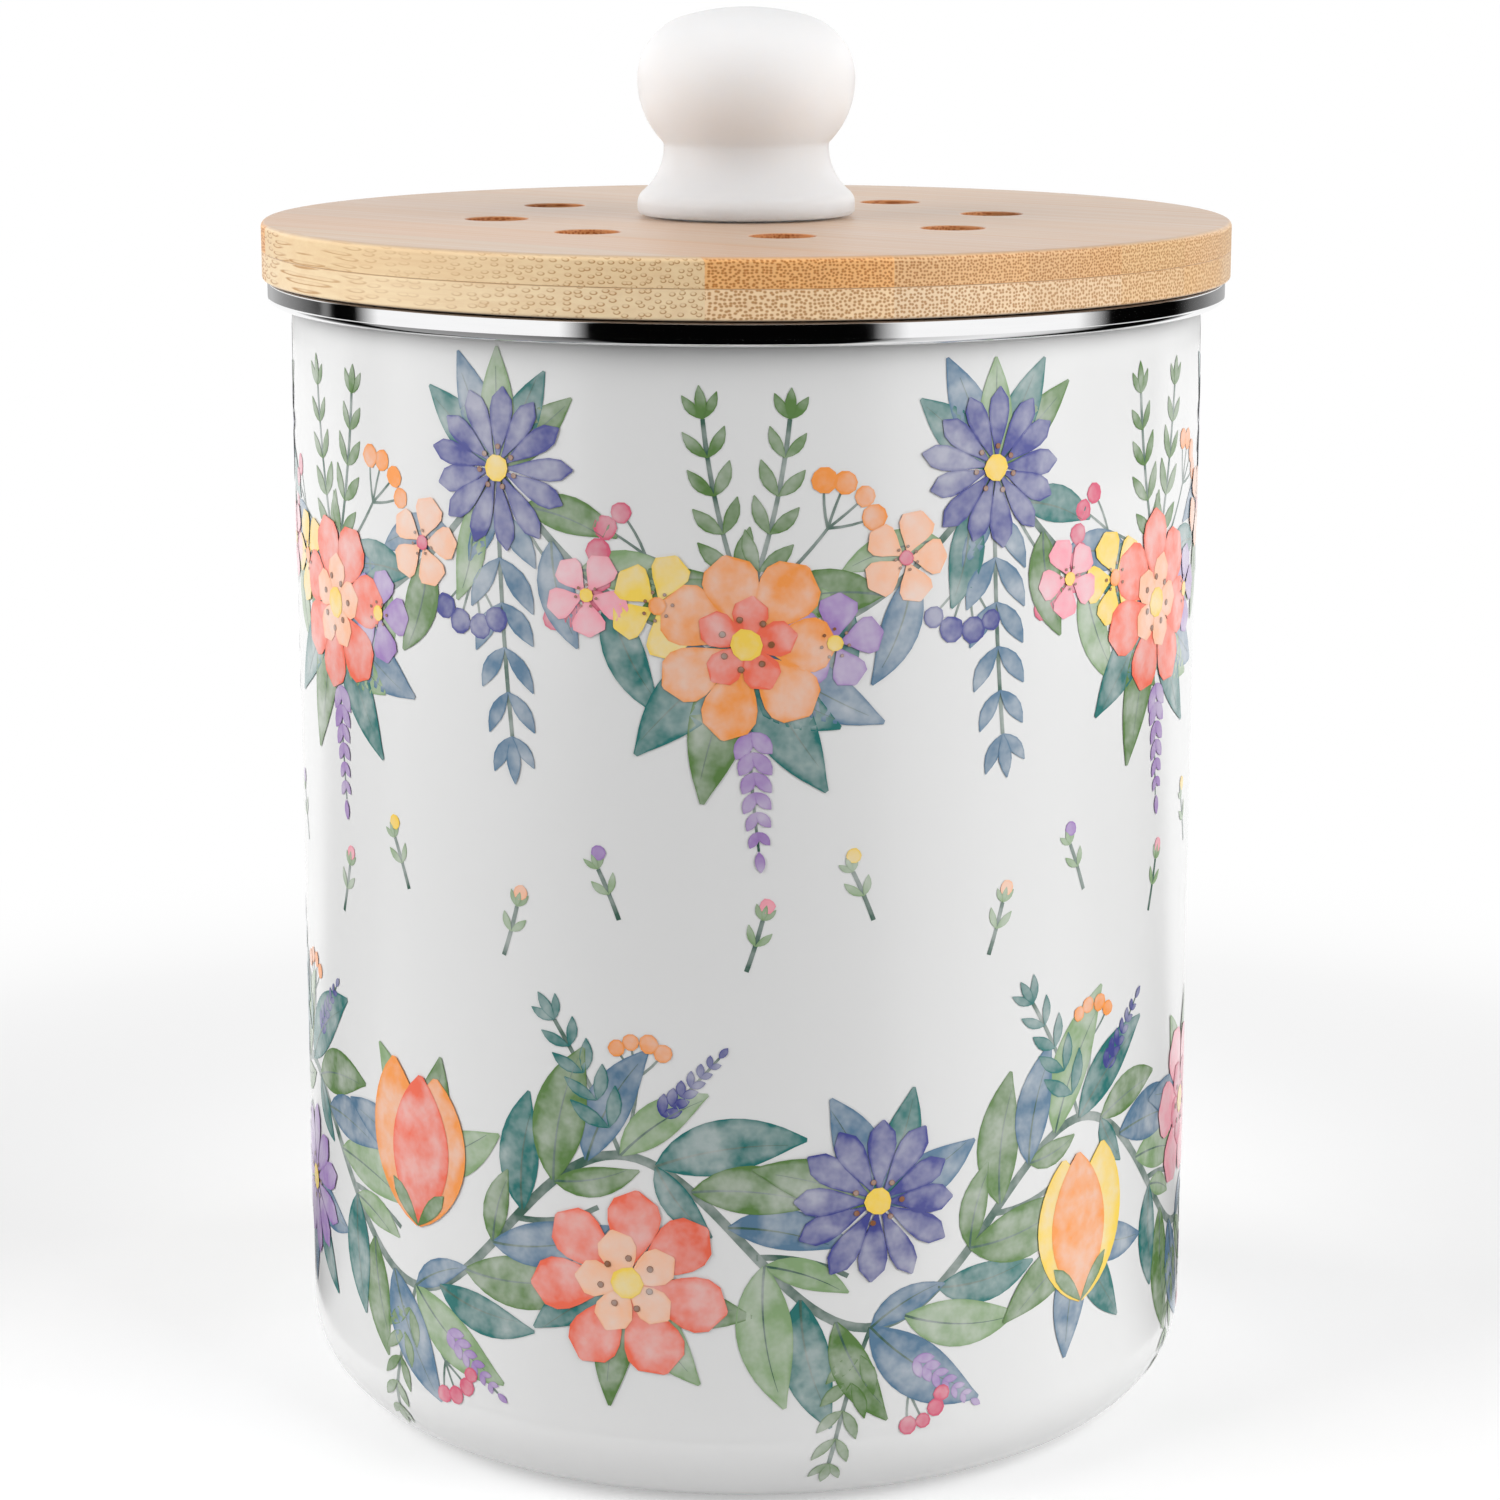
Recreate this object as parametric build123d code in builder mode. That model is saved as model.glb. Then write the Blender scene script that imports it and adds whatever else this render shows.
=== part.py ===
from build123d import *
from math import asin, degrees
import os

os.makedirs("parts", exist_ok=True)

# Countertop compost caddy: an enamelled steel can with a bright crimped rim, a two-ply
# bamboo lid with eight vent holes and a glazed knob, and a charcoal pad under the vents.
# Sizes are in millimetres with +Z up. The origin is the centre of the ring that the can
# stands on, level with the surface under it.

# Can
can_height = 201.7
body_radius = 80.0
body_wall = 1.0
body_corner_radius = 16.0
base_lift = 2.0
base_slope_width = 3.0
base_press_radius = 1.6
standing_ring_width = 6.0
lip_overhang = 3.0
lip_flare_radius = 1.2

# Rim band
band_wall = 0.8
band_fit = 0.3
band_tuck = 1.3
band_lower_round = 1.3
band_upper_round = 0.9
band_neck_gap = 0.1

# Lid
lid_seat_gap = 0.3
lid_overhang = 0.9
ply_thickness = 5.0
lid_top_round = 1.0
lid_bottom_round = 0.5
vent_count = 8
vent_radius = 5.5
vent_ring_radius = 44.0
vent_start_angle = -82.2

# Charcoal pad
pad_thickness = 10.0
pad_edge_chamfer = 1.2

# Spigot under the lid, with the groove for its seal
spigot_gap = 2.5
spigot_width = 15.5
spigot_pad_clearance = 1.0
spigot_height = 10.0
spigot_edge_chamfer = 0.8
seal_groove_depth = 2.0
seal_groove_width = 4.4
seal_groove_rise = 2.6

# Soft seal
seal_fit = 0.1
seal_reach_gap = 0.3
seal_rib_count = 2
seal_rib_root = 1.3
seal_rib_tip = 0.5
seal_rib_rise = 0.5

# Knob: a squat ball on a narrow waist and a flared foot
knob_radius = 19.1
knob_height = 36.3
knob_widest_height = 23.9
knob_shoulder_radius = 11.3
knob_under_radius = 15.5
knob_waist_inset = 4.6
knob_foot_overhang = 0.05
knob_foot_edge = 0.4
knob_foot_lower_round = 2.0
knob_foot_upper_round = 2.8
knob_foot_turn = 50.0

# Knob fixing
insert_radius = 4.5
insert_length = 16.0
insert_lift = 0.4
insert_chamfer = 0.5
cement_gap = 0.1
screw_radius = 2.5
screw_grip = 16.0
screw_head_radius = 4.75
screw_head_height = 2.8
screw_socket_width = 3.0
screw_socket_depth = 1.6
screw_hole_clearance = 0.3
thread_clearance = 0.1
washer_overhang = 1.25
washer_thickness = 1.0
counterbore_clearance = 1.0
counterbore_recess = 0.2

# Pressed tray that holds the pad, and the shoulder screws that it hooks on
tray_wall = 0.8
tray_inset = 1.5
tray_pad_clearance = 0.4
tray_dish_depth = 2.5
tray_dish_draft = 0.6
tray_press_radius = 0.5
tray_gap = 0.3
tray_twist = 18.0
tray_screw_count = 3
tray_screw_start_angle = 30.0
tray_screw_shank_radius = 2.0
tray_screw_thread_radius = 1.5
tray_screw_thread_length = 6.5
tray_screw_head_overhang = 2.0
tray_screw_head_height = 1.8
keyhole_slot_clearance = 0.25
keyhole_entry_clearance = 0.5
perforation_radius = 3.2
perforation_rings = 3
perforation_pitch = 12.5
perforation_margin = 7.4
perforation_first_count = 10
perforation_added_count = 5
grip_margin = 3.0
grip_width = 12.0
grip_depth = 5.0
grip_taper = 14.0

# Radii that follow from the sizes above, from the can outwards and then inwards
standing_ring_inner_radius = body_radius - body_corner_radius - standing_ring_width
base_panel_radius = standing_ring_inner_radius - base_slope_width
lip_radius = body_radius + lip_overhang
band_radius = lip_radius + band_fit + band_wall
lid_radius = band_radius + lid_overhang
mouth_radius = body_radius - body_wall
spigot_radius = mouth_radius - spigot_gap
spigot_bore_radius = spigot_radius - spigot_width
pad_radius = spigot_bore_radius - spigot_pad_clearance
tray_radius = spigot_radius - tray_inset
tray_dish_radius = pad_radius + tray_pad_clearance
tray_screw_ring_radius = (spigot_bore_radius + spigot_radius) / 2
tray_screw_head_radius = tray_screw_shank_radius + tray_screw_head_overhang
washer_radius = screw_head_radius + washer_overhang
counterbore_radius = washer_radius + counterbore_clearance
counterbore_depth = washer_thickness + screw_head_height + counterbore_recess

# Heights that follow, from the rim upwards and then down into the can
band_height = 2 * band_wall + body_wall + band_tuck
band_bottom = can_height - band_height
lip_top = can_height - band_wall
lip_underside = lip_top - body_wall
lid_underside = can_height + lid_seat_gap
ply_joint = lid_underside + ply_thickness
lid_top = ply_joint + ply_thickness
spigot_underside = lid_underside - spigot_height
flange_top = spigot_underside - tray_gap
flange_underside = flange_top - tray_wall
panel_top = flange_top - tray_dish_depth
panel_underside = panel_top - tray_wall
tray_head_top = flange_underside - tray_gap


# Can: one line up the outside, given its wall by an offset, then revolved
with BuildPart() as canister_body:
    with BuildSketch(Plane.XZ) as canister_section:
        with BuildLine() as canister_line:
            FilletPolyline(
                (0, base_lift),
                (base_panel_radius, base_lift),
                (standing_ring_inner_radius, 0),
                (body_radius, 0),
                (body_radius, lip_underside),
                (lip_radius, lip_underside),
                radius=(base_press_radius, base_press_radius, body_corner_radius, lip_flare_radius),
            )
            offset(amount=body_wall, side=Side.LEFT)
        make_face()
    revolve(axis=Axis.Z)
canister_body.part.label = "canister_body"
export_step(canister_body.part, "parts/canister_body.step")


# Rim band: a C section closed over and under the can's lip
with BuildPart() as rim_band:
    with BuildSketch(Plane.XZ) as band_section:
        with BuildLine() as band_line:
            FilletPolyline(
                (body_radius + band_neck_gap, band_bottom),
                (band_radius, band_bottom),
                (band_radius, can_height),
                (mouth_radius + band_fit, can_height),
                radius=(band_lower_round, band_upper_round),
            )
            offset(amount=band_wall, side=Side.LEFT)
        make_face()
    revolve(axis=Axis.Z)
rim_band.part.label = "rim_band"
export_step(rim_band.part, "parts/rim_band.step")


# Upper ply, with its top edge eased
with BuildPart() as lid_upper_ply:
    with BuildSketch(Plane.XY.offset(ply_joint)) as upper_outline:
        Circle(lid_radius)
        Circle(screw_radius + screw_hole_clearance, mode=Mode.SUBTRACT)
        with PolarLocations(vent_ring_radius, vent_count, start_angle=vent_start_angle):
            Circle(vent_radius, mode=Mode.SUBTRACT)
    extrude(amount=ply_thickness)
    upper_rim = lid_upper_ply.edges().group_by(Axis.Z)[-1].sort_by(SortBy.LENGTH)[-1]
    fillet(upper_rim, radius=lid_top_round)
lid_upper_ply.part.label = "lid_upper_ply"
export_step(lid_upper_ply.part, "parts/lid_upper_ply.step")


# Lower ply, counterbored from below so that the knob's screw head lies flush
with BuildPart() as lid_lower_ply:
    with BuildSketch(Plane.XY.offset(lid_underside)) as lower_outline:
        Circle(lid_radius)
        Circle(screw_radius + screw_hole_clearance, mode=Mode.SUBTRACT)
        with PolarLocations(vent_ring_radius, vent_count, start_angle=vent_start_angle):
            Circle(vent_radius, mode=Mode.SUBTRACT)
    extrude(amount=ply_thickness)
    lower_rim = lid_lower_ply.edges().group_by(Axis.Z)[0].sort_by(SortBy.LENGTH)[-1]
    fillet(lower_rim, radius=lid_bottom_round)
    with BuildSketch(Plane.XY.offset(lid_underside)) as counterbore_outline:
        Circle(counterbore_radius)
    extrude(amount=counterbore_depth, mode=Mode.SUBTRACT)
lid_lower_ply.part.label = "lid_lower_ply"
export_step(lid_lower_ply.part, "parts/lid_lower_ply.step")


# Spigot ring, with a groove round it for the seal and pilot holes for the tray's screws
groove_bottom = spigot_underside + seal_groove_rise
groove_top = groove_bottom + seal_groove_width
with BuildPart() as spigot_ring:
    with BuildSketch(Plane.XZ) as spigot_section:
        with BuildLine() as spigot_line:
            Polyline(
                (spigot_bore_radius, spigot_underside),
                (spigot_radius, spigot_underside),
                (spigot_radius, groove_bottom),
                (spigot_radius - seal_groove_depth, groove_bottom),
                (spigot_radius - seal_groove_depth, groove_top),
                (spigot_radius, groove_top),
                (spigot_radius, lid_underside),
                (spigot_bore_radius, lid_underside),
                close=True,
            )
        make_face()
    revolve(axis=Axis.Z)
    spigot_lower_edges = spigot_ring.edges().group_by(Axis.Z)[0].sort_by(SortBy.LENGTH)[-1]
    chamfer(spigot_lower_edges, length=spigot_edge_chamfer)
    with BuildSketch(Plane.XY.offset(spigot_underside)) as pilot_holes:
        with PolarLocations(
            tray_screw_ring_radius, tray_screw_count, start_angle=tray_screw_start_angle
        ):
            Circle(tray_screw_thread_radius + thread_clearance)
    extrude(amount=tray_screw_thread_length + thread_clearance, mode=Mode.SUBTRACT)
spigot_ring.part.label = "spigot_ring"
export_step(spigot_ring.part, "parts/spigot_ring.step")


# Seal: a band in the groove with ribs that drag upwards against the can's wall
seal_back = spigot_radius - seal_groove_depth + seal_fit
seal_face = spigot_radius - seal_fit
seal_bottom = groove_bottom + seal_fit
seal_top = groove_top - seal_fit
seal_tip_radius = mouth_radius - seal_reach_gap
seal_rib_pitch = (seal_top - seal_bottom) / seal_rib_count
with BuildPart() as lid_seal:
    with BuildSketch(Plane.XZ) as seal_section:
        with BuildLine() as seal_band_line:
            Polyline(
                (seal_back, seal_bottom),
                (seal_face, seal_bottom),
                (seal_face, seal_top),
                (seal_back, seal_top),
                close=True,
            )
        make_face()
        for rib in range(seal_rib_count):
            rib_middle = seal_bottom + (rib + 0.5) * seal_rib_pitch
            with BuildLine() as seal_rib_line:
                Polyline(
                    (seal_face - seal_fit, rib_middle - seal_rib_root / 2),
                    (seal_tip_radius, rib_middle + seal_rib_rise - seal_rib_tip / 2),
                    (seal_tip_radius, rib_middle + seal_rib_rise + seal_rib_tip / 2),
                    (seal_face - seal_fit, rib_middle + seal_rib_root / 2),
                    close=True,
                )
            make_face()
    revolve(axis=Axis.Z)
lid_seal.part.label = "lid_seal"
export_step(lid_seal.part, "parts/lid_seal.step")


# Knob section, from the foot up: foot, waist, underside of the ball, shoulder and crown.
# Every arc leaves the one before it in the same direction, so the glaze has no crease.
foot_radius = knob_radius + knob_foot_overhang
waist_radius = knob_radius - knob_waist_inset
crown_reach = knob_radius - knob_shoulder_radius
crown_rise = knob_height - knob_widest_height
crown_sum = crown_reach**2 + crown_rise**2 - knob_shoulder_radius**2
crown_radius = crown_sum / (2 * (crown_rise - knob_shoulder_radius))
crown_turn = degrees(asin(crown_reach / (crown_radius - knob_shoulder_radius)))
with BuildPart() as knob:
    with BuildSketch(Plane.XZ) as knob_section:
        with BuildLine() as knob_line:
            foot_flat = Line((0, lid_top), (foot_radius - knob_foot_lower_round, lid_top))
            foot_corner = JernArc(foot_flat @ 1, (1, 0), knob_foot_lower_round, 90)
            foot_edge = Line(foot_corner @ 1, foot_corner @ 1 + Vector(0, knob_foot_edge))
            foot_round = JernArc(foot_edge @ 1, (0, 1), knob_foot_upper_round, knob_foot_turn)
            foot_step = (foot_round @ 1).X - waist_radius
            foot_slope = foot_round % 1
            foot_sweep_radius = foot_step / (1 - foot_slope.Y)
            foot_sweep = JernArc(foot_round @ 1, foot_slope, foot_sweep_radius, -knob_foot_turn)
            waist_rise = lid_top + knob_widest_height - (foot_sweep @ 1).Y
            waist_reach = knob_under_radius - knob_waist_inset
            waist_sum = waist_rise**2 + waist_reach**2 - knob_under_radius**2
            waist_blend = waist_sum / (2 * knob_waist_inset)
            waist_turn = degrees(asin(waist_rise / (knob_under_radius + waist_blend)))
            waist = JernArc(foot_sweep @ 1, (0, 1), waist_blend, -waist_turn)
            underside = JernArc(waist @ 1, waist % 1, knob_under_radius, waist_turn)
            shoulder = JernArc(underside @ 1, (0, 1), knob_shoulder_radius, 90 - crown_turn)
            crown = JernArc(shoulder @ 1, shoulder % 1, crown_radius, crown_turn)
            Line(crown @ 1, (0, lid_top))
        make_face()
    revolve(axis=Axis.Z)
    with BuildSketch(Plane.XY.offset(lid_top)) as knob_bore:
        Circle(insert_radius + cement_gap)
    extrude(amount=insert_lift + insert_length + insert_lift, mode=Mode.SUBTRACT)
knob.part.label = "knob"
export_step(knob.part, "parts/knob.step")


# Threaded insert, cemented in the knob's bore
with BuildPart() as knob_insert:
    with BuildSketch(Plane.XY.offset(lid_top + insert_lift)) as insert_outline:
        Circle(insert_radius)
        Circle(screw_radius + thread_clearance, mode=Mode.SUBTRACT)
    extrude(amount=insert_length)
    insert_mouth = knob_insert.edges().group_by(Axis.Z)[0].sort_by(SortBy.LENGTH)[-1]
    chamfer(insert_mouth, length=insert_chamfer)
knob_insert.part.label = "knob_insert"
export_step(knob_insert.part, "parts/knob_insert.step")


# Washer against the counterbore's ceiling
counterbore_ceiling = lid_underside + counterbore_depth
with BuildPart() as knob_washer:
    with BuildSketch(Plane.XY.offset(counterbore_ceiling - washer_thickness)) as washer_outline:
        Circle(washer_radius)
        Circle(screw_radius + thread_clearance, mode=Mode.SUBTRACT)
    extrude(amount=washer_thickness)
knob_washer.part.label = "knob_washer"
export_step(knob_washer.part, "parts/knob_washer.step")


# Screw up through both plies into the insert
screw_seat = counterbore_ceiling - washer_thickness
screw_length = lid_top + screw_grip - screw_seat
with BuildPart() as knob_screw:
    with BuildSketch(Plane.XY.offset(screw_seat - screw_head_height)) as screw_head:
        Circle(screw_head_radius)
    extrude(amount=screw_head_height)
    screw_head_edge = knob_screw.edges().group_by(Axis.Z)[0]
    fillet(screw_head_edge, radius=screw_head_height / 3)
    with BuildSketch(Plane.XY.offset(screw_seat)) as screw_shank:
        Circle(screw_radius)
    extrude(amount=screw_length)
    with BuildSketch(Plane.XY.offset(screw_seat - screw_head_height)) as screw_socket:
        RegularPolygon(screw_socket_width / 2, 6, major_radius=False)
    extrude(amount=screw_socket_depth, mode=Mode.SUBTRACT)
knob_screw.part.label = "knob_screw"
export_step(knob_screw.part, "parts/knob_screw.step")


# Charcoal pad, resting on the tray inside the spigot ring
with BuildPart() as charcoal_filter:
    with BuildSketch(Plane.XY.offset(panel_top)) as pad_outline:
        Circle(pad_radius)
    extrude(amount=pad_thickness)
    chamfer(charcoal_filter.edges().filter_by(GeomType.CIRCLE), length=pad_edge_chamfer)
charcoal_filter.part.label = "charcoal_filter"
export_step(charcoal_filter.part, "parts/charcoal_filter.step")


# Tray: a shallow pressing with a flange, a grip ridge, air holes and three keyhole slots.
# The air holes are six-sided, in rings that end a margin short of the dish's wall.
keyhole_slot_width = 2 * (tray_screw_shank_radius + keyhole_slot_clearance)
keyhole_entry_radius = tray_screw_head_radius + keyhole_entry_clearance
perforation_reach = (perforation_rings - 1) * perforation_pitch
perforation_first_radius = tray_dish_radius - perforation_margin - perforation_reach
grip_length = 2 * (perforation_first_radius - perforation_radius - grip_margin)
with BuildPart() as filter_tray:
    with BuildSketch(Plane.XZ) as tray_section:
        with BuildLine() as tray_line:
            FilletPolyline(
                (0, panel_underside),
                (tray_dish_radius + tray_wall, panel_underside),
                (tray_dish_radius + tray_wall + tray_dish_draft, flange_underside),
                (tray_radius, flange_underside),
                radius=(tray_press_radius + tray_wall, tray_press_radius),
            )
            offset(amount=tray_wall, side=Side.LEFT)
        make_face()
    revolve(axis=Axis.Z)
    with BuildSketch(Plane.XY.offset(panel_underside)) as grip_outside:
        SlotOverall(grip_length, grip_width)
    extrude(amount=-grip_depth, taper=grip_taper)
    with BuildSketch(Plane.XY.offset(panel_top)) as grip_inside:
        SlotOverall(grip_length - 2 * tray_wall, grip_width - 2 * tray_wall)
    extrude(amount=-grip_depth, taper=grip_taper, mode=Mode.SUBTRACT)
    with BuildSketch(Plane.XY.offset(panel_underside)) as air_holes:
        for ring in range(perforation_rings):
            ring_radius = perforation_first_radius + ring * perforation_pitch
            ring_count = perforation_first_count + ring * perforation_added_count
            with PolarLocations(ring_radius, ring_count):
                RegularPolygon(perforation_radius, 6)
    extrude(amount=tray_wall, mode=Mode.SUBTRACT)
    with BuildSketch(Plane.XY.offset(flange_underside)) as keyholes:
        for hook in range(tray_screw_count):
            slot_end = tray_screw_start_angle + hook * 360 / tray_screw_count
            slot_arc = CenterArc(
                (0, 0), tray_screw_ring_radius, slot_end - tray_twist, tray_twist, mode=Mode.PRIVATE
            )
            SlotArc(slot_arc, keyhole_slot_width)
            with Locations(slot_arc @ 0):
                Circle(keyhole_entry_radius)
    extrude(amount=tray_wall, mode=Mode.SUBTRACT)
filter_tray.part.label = "filter_tray"
export_step(filter_tray.part, "parts/filter_tray.step")


# Shoulder screws: each shank stands in the narrow end of a keyhole slot
with BuildPart() as tray_screws:
    with BuildSketch(Plane.XY.offset(tray_head_top - tray_screw_head_height)) as tray_screw_heads:
        with PolarLocations(
            tray_screw_ring_radius, tray_screw_count, start_angle=tray_screw_start_angle
        ):
            Circle(tray_screw_head_radius)
    extrude(amount=tray_screw_head_height)
    with BuildSketch(Plane.XY.offset(tray_head_top)) as tray_screw_shoulders:
        with PolarLocations(
            tray_screw_ring_radius, tray_screw_count, start_angle=tray_screw_start_angle
        ):
            Circle(tray_screw_shank_radius)
    extrude(amount=spigot_underside - tray_head_top)
    with BuildSketch(Plane.XY.offset(spigot_underside)) as tray_screw_threads:
        with PolarLocations(
            tray_screw_ring_radius, tray_screw_count, start_angle=tray_screw_start_angle
        ):
            Circle(tray_screw_thread_radius)
    extrude(amount=tray_screw_thread_length)
tray_screws.part.label = "tray_screws"
export_step(tray_screws.part, "parts/tray_screws.step")
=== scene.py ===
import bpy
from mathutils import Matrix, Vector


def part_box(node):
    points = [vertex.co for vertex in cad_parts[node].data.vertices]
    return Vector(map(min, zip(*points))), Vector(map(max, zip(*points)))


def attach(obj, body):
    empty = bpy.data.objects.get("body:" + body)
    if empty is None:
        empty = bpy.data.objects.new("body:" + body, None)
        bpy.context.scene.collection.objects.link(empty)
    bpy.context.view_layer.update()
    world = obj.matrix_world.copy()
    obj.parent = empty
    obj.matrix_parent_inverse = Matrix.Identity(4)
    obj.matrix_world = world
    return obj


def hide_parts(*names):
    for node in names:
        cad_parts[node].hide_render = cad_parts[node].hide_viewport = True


bl_info = {
    "name": "Compost Caddy",
    "version": (1, 0, 0),
    "blender": (4, 5, 0),
    "location": "3D View > Sidebar > Caddy",
    "description": "Dresses an enamelled compost caddy with a bamboo lid and sets up its studio",
    "category": "Object",
}

from math import asin, atan2, cos, degrees, log, pi, radians, sin, tan
from random import Random

import bmesh
import bpy
from mathutils import Vector, noise

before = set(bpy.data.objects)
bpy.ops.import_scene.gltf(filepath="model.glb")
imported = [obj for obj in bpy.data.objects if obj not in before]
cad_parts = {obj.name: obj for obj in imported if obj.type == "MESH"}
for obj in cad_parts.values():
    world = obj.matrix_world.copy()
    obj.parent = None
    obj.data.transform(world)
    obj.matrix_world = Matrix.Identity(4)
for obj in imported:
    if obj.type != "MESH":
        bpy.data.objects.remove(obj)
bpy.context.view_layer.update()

MM = 0.001
ON_AXIS = 1e-7
ROUND_STEPS = 224
KNOB_STEPS = 160
PAD_STEPS = 144
STUDIO_STEPS = 96
VENT_STEPS = 64
COUNTERBORE_STEPS = 48
SCREW_HOLE_STEPS = 32


def reach(node):
    """How far a CAD node reaches from the can's axis."""
    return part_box(node)[1][0]


def top(node):
    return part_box(node)[1][2]


def foot(node):
    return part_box(node)[0][2]


def tone(red, green, blue):
    """A colour given in display values from 0 to 255, as Blender's linear colour."""
    linear = []
    for value in (red, green, blue):
        share = value / 255
        linear.append(share / 12.92 if share <= 0.04045 else ((share + 0.055) / 1.055) ** 2.4)
    return tuple(linear)


# Sizes and colours that a user would change

def amount(label, default, description, unit="NONE", **limits):
    return bpy.props.FloatProperty(
        name=label, description=description, default=default, unit=unit, **limits
    )


def length(label, default, description):
    return amount(label, default, description, "LENGTH", min=0.0, precision=5)


def angle(label, default, description):
    return amount(label, radians(default), description, "ROTATION")


def colour(label, default, description):
    return bpy.props.FloatVectorProperty(
        name=label, description=description, default=default, subtype="COLOR", min=0.0, max=1.0
    )


def count(label, default, description):
    return bpy.props.IntProperty(name=label, description=description, default=default, min=1)


class CaddyCan(bpy.types.PropertyGroup):
    """The enamelled can and its polished rim."""

    body_radius: length("Body radius", 80 * MM, "Outside of the can's straight wall")
    wall: length("Wall", 1 * MM, "Thickness of the enamelled sheet")
    corner_radius: length("Corner radius", 16 * MM, "Round between the wall and the base")
    base_lift: length("Base lift", 2 * MM, "How far the base panel is pressed up")
    base_slope: length("Base slope", 3 * MM, "Width of the slope round the base panel")
    press_radius: length("Press radius", 1.6 * MM, "Rounds along the base's slope")
    ring_width: length("Standing ring", 6 * MM, "Width of the ring that the can stands on")
    flare_radius: length("Flare radius", 1.2 * MM, "Round where the wall turns out into the lip")
    enamel: colour("Enamel", (0.80, 0.80, 0.795), "Ground colour of the can")
    band_wall: length("Band wall", 0.8 * MM, "Thickness of the rim band")
    band_fit: length("Band fit", 0.3 * MM, "Room between the band and the can's lip")
    band_lower_round: length("Lower round", 1.3 * MM, "Round along the band's lower edge")
    band_upper_round: length("Upper round", 0.5 * MM, "Round along the band's upper edge")
    band_gap: length("Neck gap", 0.1 * MM, "Room between the band's lower edge and the wall")
    rim: colour("Rim metal", (0.95, 0.95, 0.955), "Colour of the polished rim")


class CaddyLid(bpy.types.PropertyGroup):
    """The two bamboo plies, the spigot under them and its seal."""

    top_round: length("Top round", 1 * MM, "Round along the lid's upper edge")
    bottom_round: length("Bottom round", 0.5 * MM, "Round along the lid's lower edge")
    joint_round: length("Joint ease", 0.12 * MM, "Slight ease of both plies at the glue line")
    vents: count("Vents", 8, "Number of vent holes")
    vent_radius: length("Vent radius", 5.5 * MM, "Radius of each vent hole")
    vent_ring: length("Vent ring", 44 * MM, "Radius of the ring that the vents lie on")
    vent_turn: angle("Vent turn", -82.2, "Angle of the first vent from the X axis")
    vent_ease: length("Vent ease", 0.35 * MM, "Round at the mouth of each vent")
    screw_hole: length("Screw hole", 2.8 * MM, "Radius of the hole for the knob's screw")
    counterbore: length("Counterbore", 7 * MM, "Radius of the counterbore under the lid")
    counterbore_depth: length("Counterbore depth", 4 * MM, "Depth of the counterbore")
    grain_turn: angle("Grain turn", 50, "How far the grain is turned from the line of sight")
    fibre_wander: length("Fibre wander", 1.0 * MM, "How far a fibre strays from its straight line")
    upper_pitch: length("Upper pitch", 0.62 * MM, "Distance between the fibres of the upper ply")
    lower_pitch: length("Lower pitch", 0.70 * MM, "Distance between the fibres of the lower ply")
    strip_joint: length("Strip joint", 0.13 * MM, "Half the width of the line between two strips")
    # Top dark depth: how far down each vent the darker colour at its top fades out.
    top_dark_depth: length("Scorch depth", 1.3 * MM, "How far the drill browned the vents")
    glue_line: length("Glue line", 0.16 * MM, "Half the height of the dark line between the plies")
    bore: colour("Bored wood", tone(176, 104, 52), "Colour of the wood inside the holes")
    bamboo: colour("Bamboo", tone(236, 206, 168), "Middle colour of the bamboo")
    # The face colour is painted shade and sheen: the broad faces get a darker, greyer brown than
    # the strips, for how light falls on the lid's top.
    face_painted_shade: colour("Bamboo face", tone(156, 132, 122), "Colour of the lid's broad faces")
    streak: colour("Streak", tone(206, 156, 106), "Colour of the streaks along the grain")
    fibre: colour("Fibre", (0.52, 0.31, 0.13), "How the fibre ends darken the bamboo")
    fibre_show: amount("Fibre strength", 0.85, "How strongly the fibre ends show")
    groove_depth: length("Groove depth", 2 * MM, "Depth of the seal's groove")
    groove_width: length("Groove width", 4.4 * MM, "Width of the seal's groove")
    groove_rise: length("Groove rise", 2.6 * MM, "Height of the groove above the spigot's foot")
    spigot_width: length("Spigot width", 15.5 * MM, "Width of the ring under the lid")
    spigot_ease: length("Spigot ease", 0.8 * MM, "Round along the spigot's lower edges")
    seal: colour("Seal", tone(214, 212, 204), "Colour of the soft seal")


class CaddyKnob(bpy.types.PropertyGroup):
    """The glazed knob, a squat ball on a narrow waist and a flared foot."""

    radius: length("Radius", 19.1 * MM, "Widest radius of the ball")
    widest_height: length("Widest height", 23.9 * MM, "Height of the ball's widest place")
    shoulder_radius: length("Shoulder radius", 11.3 * MM, "Round above the widest place")
    under_radius: length("Underside radius", 15.5 * MM, "Round below the widest place")
    waist_inset: length("Waist inset", 4.6 * MM, "How far the waist lies inside the ball")
    foot_overhang: length("Foot overhang", 0.05 * MM, "How far the foot reaches past the ball")
    foot_gap: length("Foot gap", 0.45 * MM, "Height of the step under the foot's edge")
    foot_step: length("Foot step", 2.4 * MM, "Width of the step under the foot's edge")
    foot_edge: length("Foot edge", 1.05 * MM, "Straight part of the foot's edge")
    foot_lower_round: length("Foot's lower round", 0.9 * MM, "Round under the foot's edge")
    foot_upper_round: length("Foot's upper round", 2.8 * MM, "Round over the foot's edge")
    foot_turn: angle("Foot turn", 50, "Turn of the round over the foot's edge")
    bore_radius: length("Bore radius", 4.6 * MM, "Radius of the bore for the insert")
    bore_depth: length("Bore depth", 16.8 * MM, "Depth of the bore for the insert")
    glaze: colour("Glaze", (0.735, 0.735, 0.74), "Colour of the knob's glaze")


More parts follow.
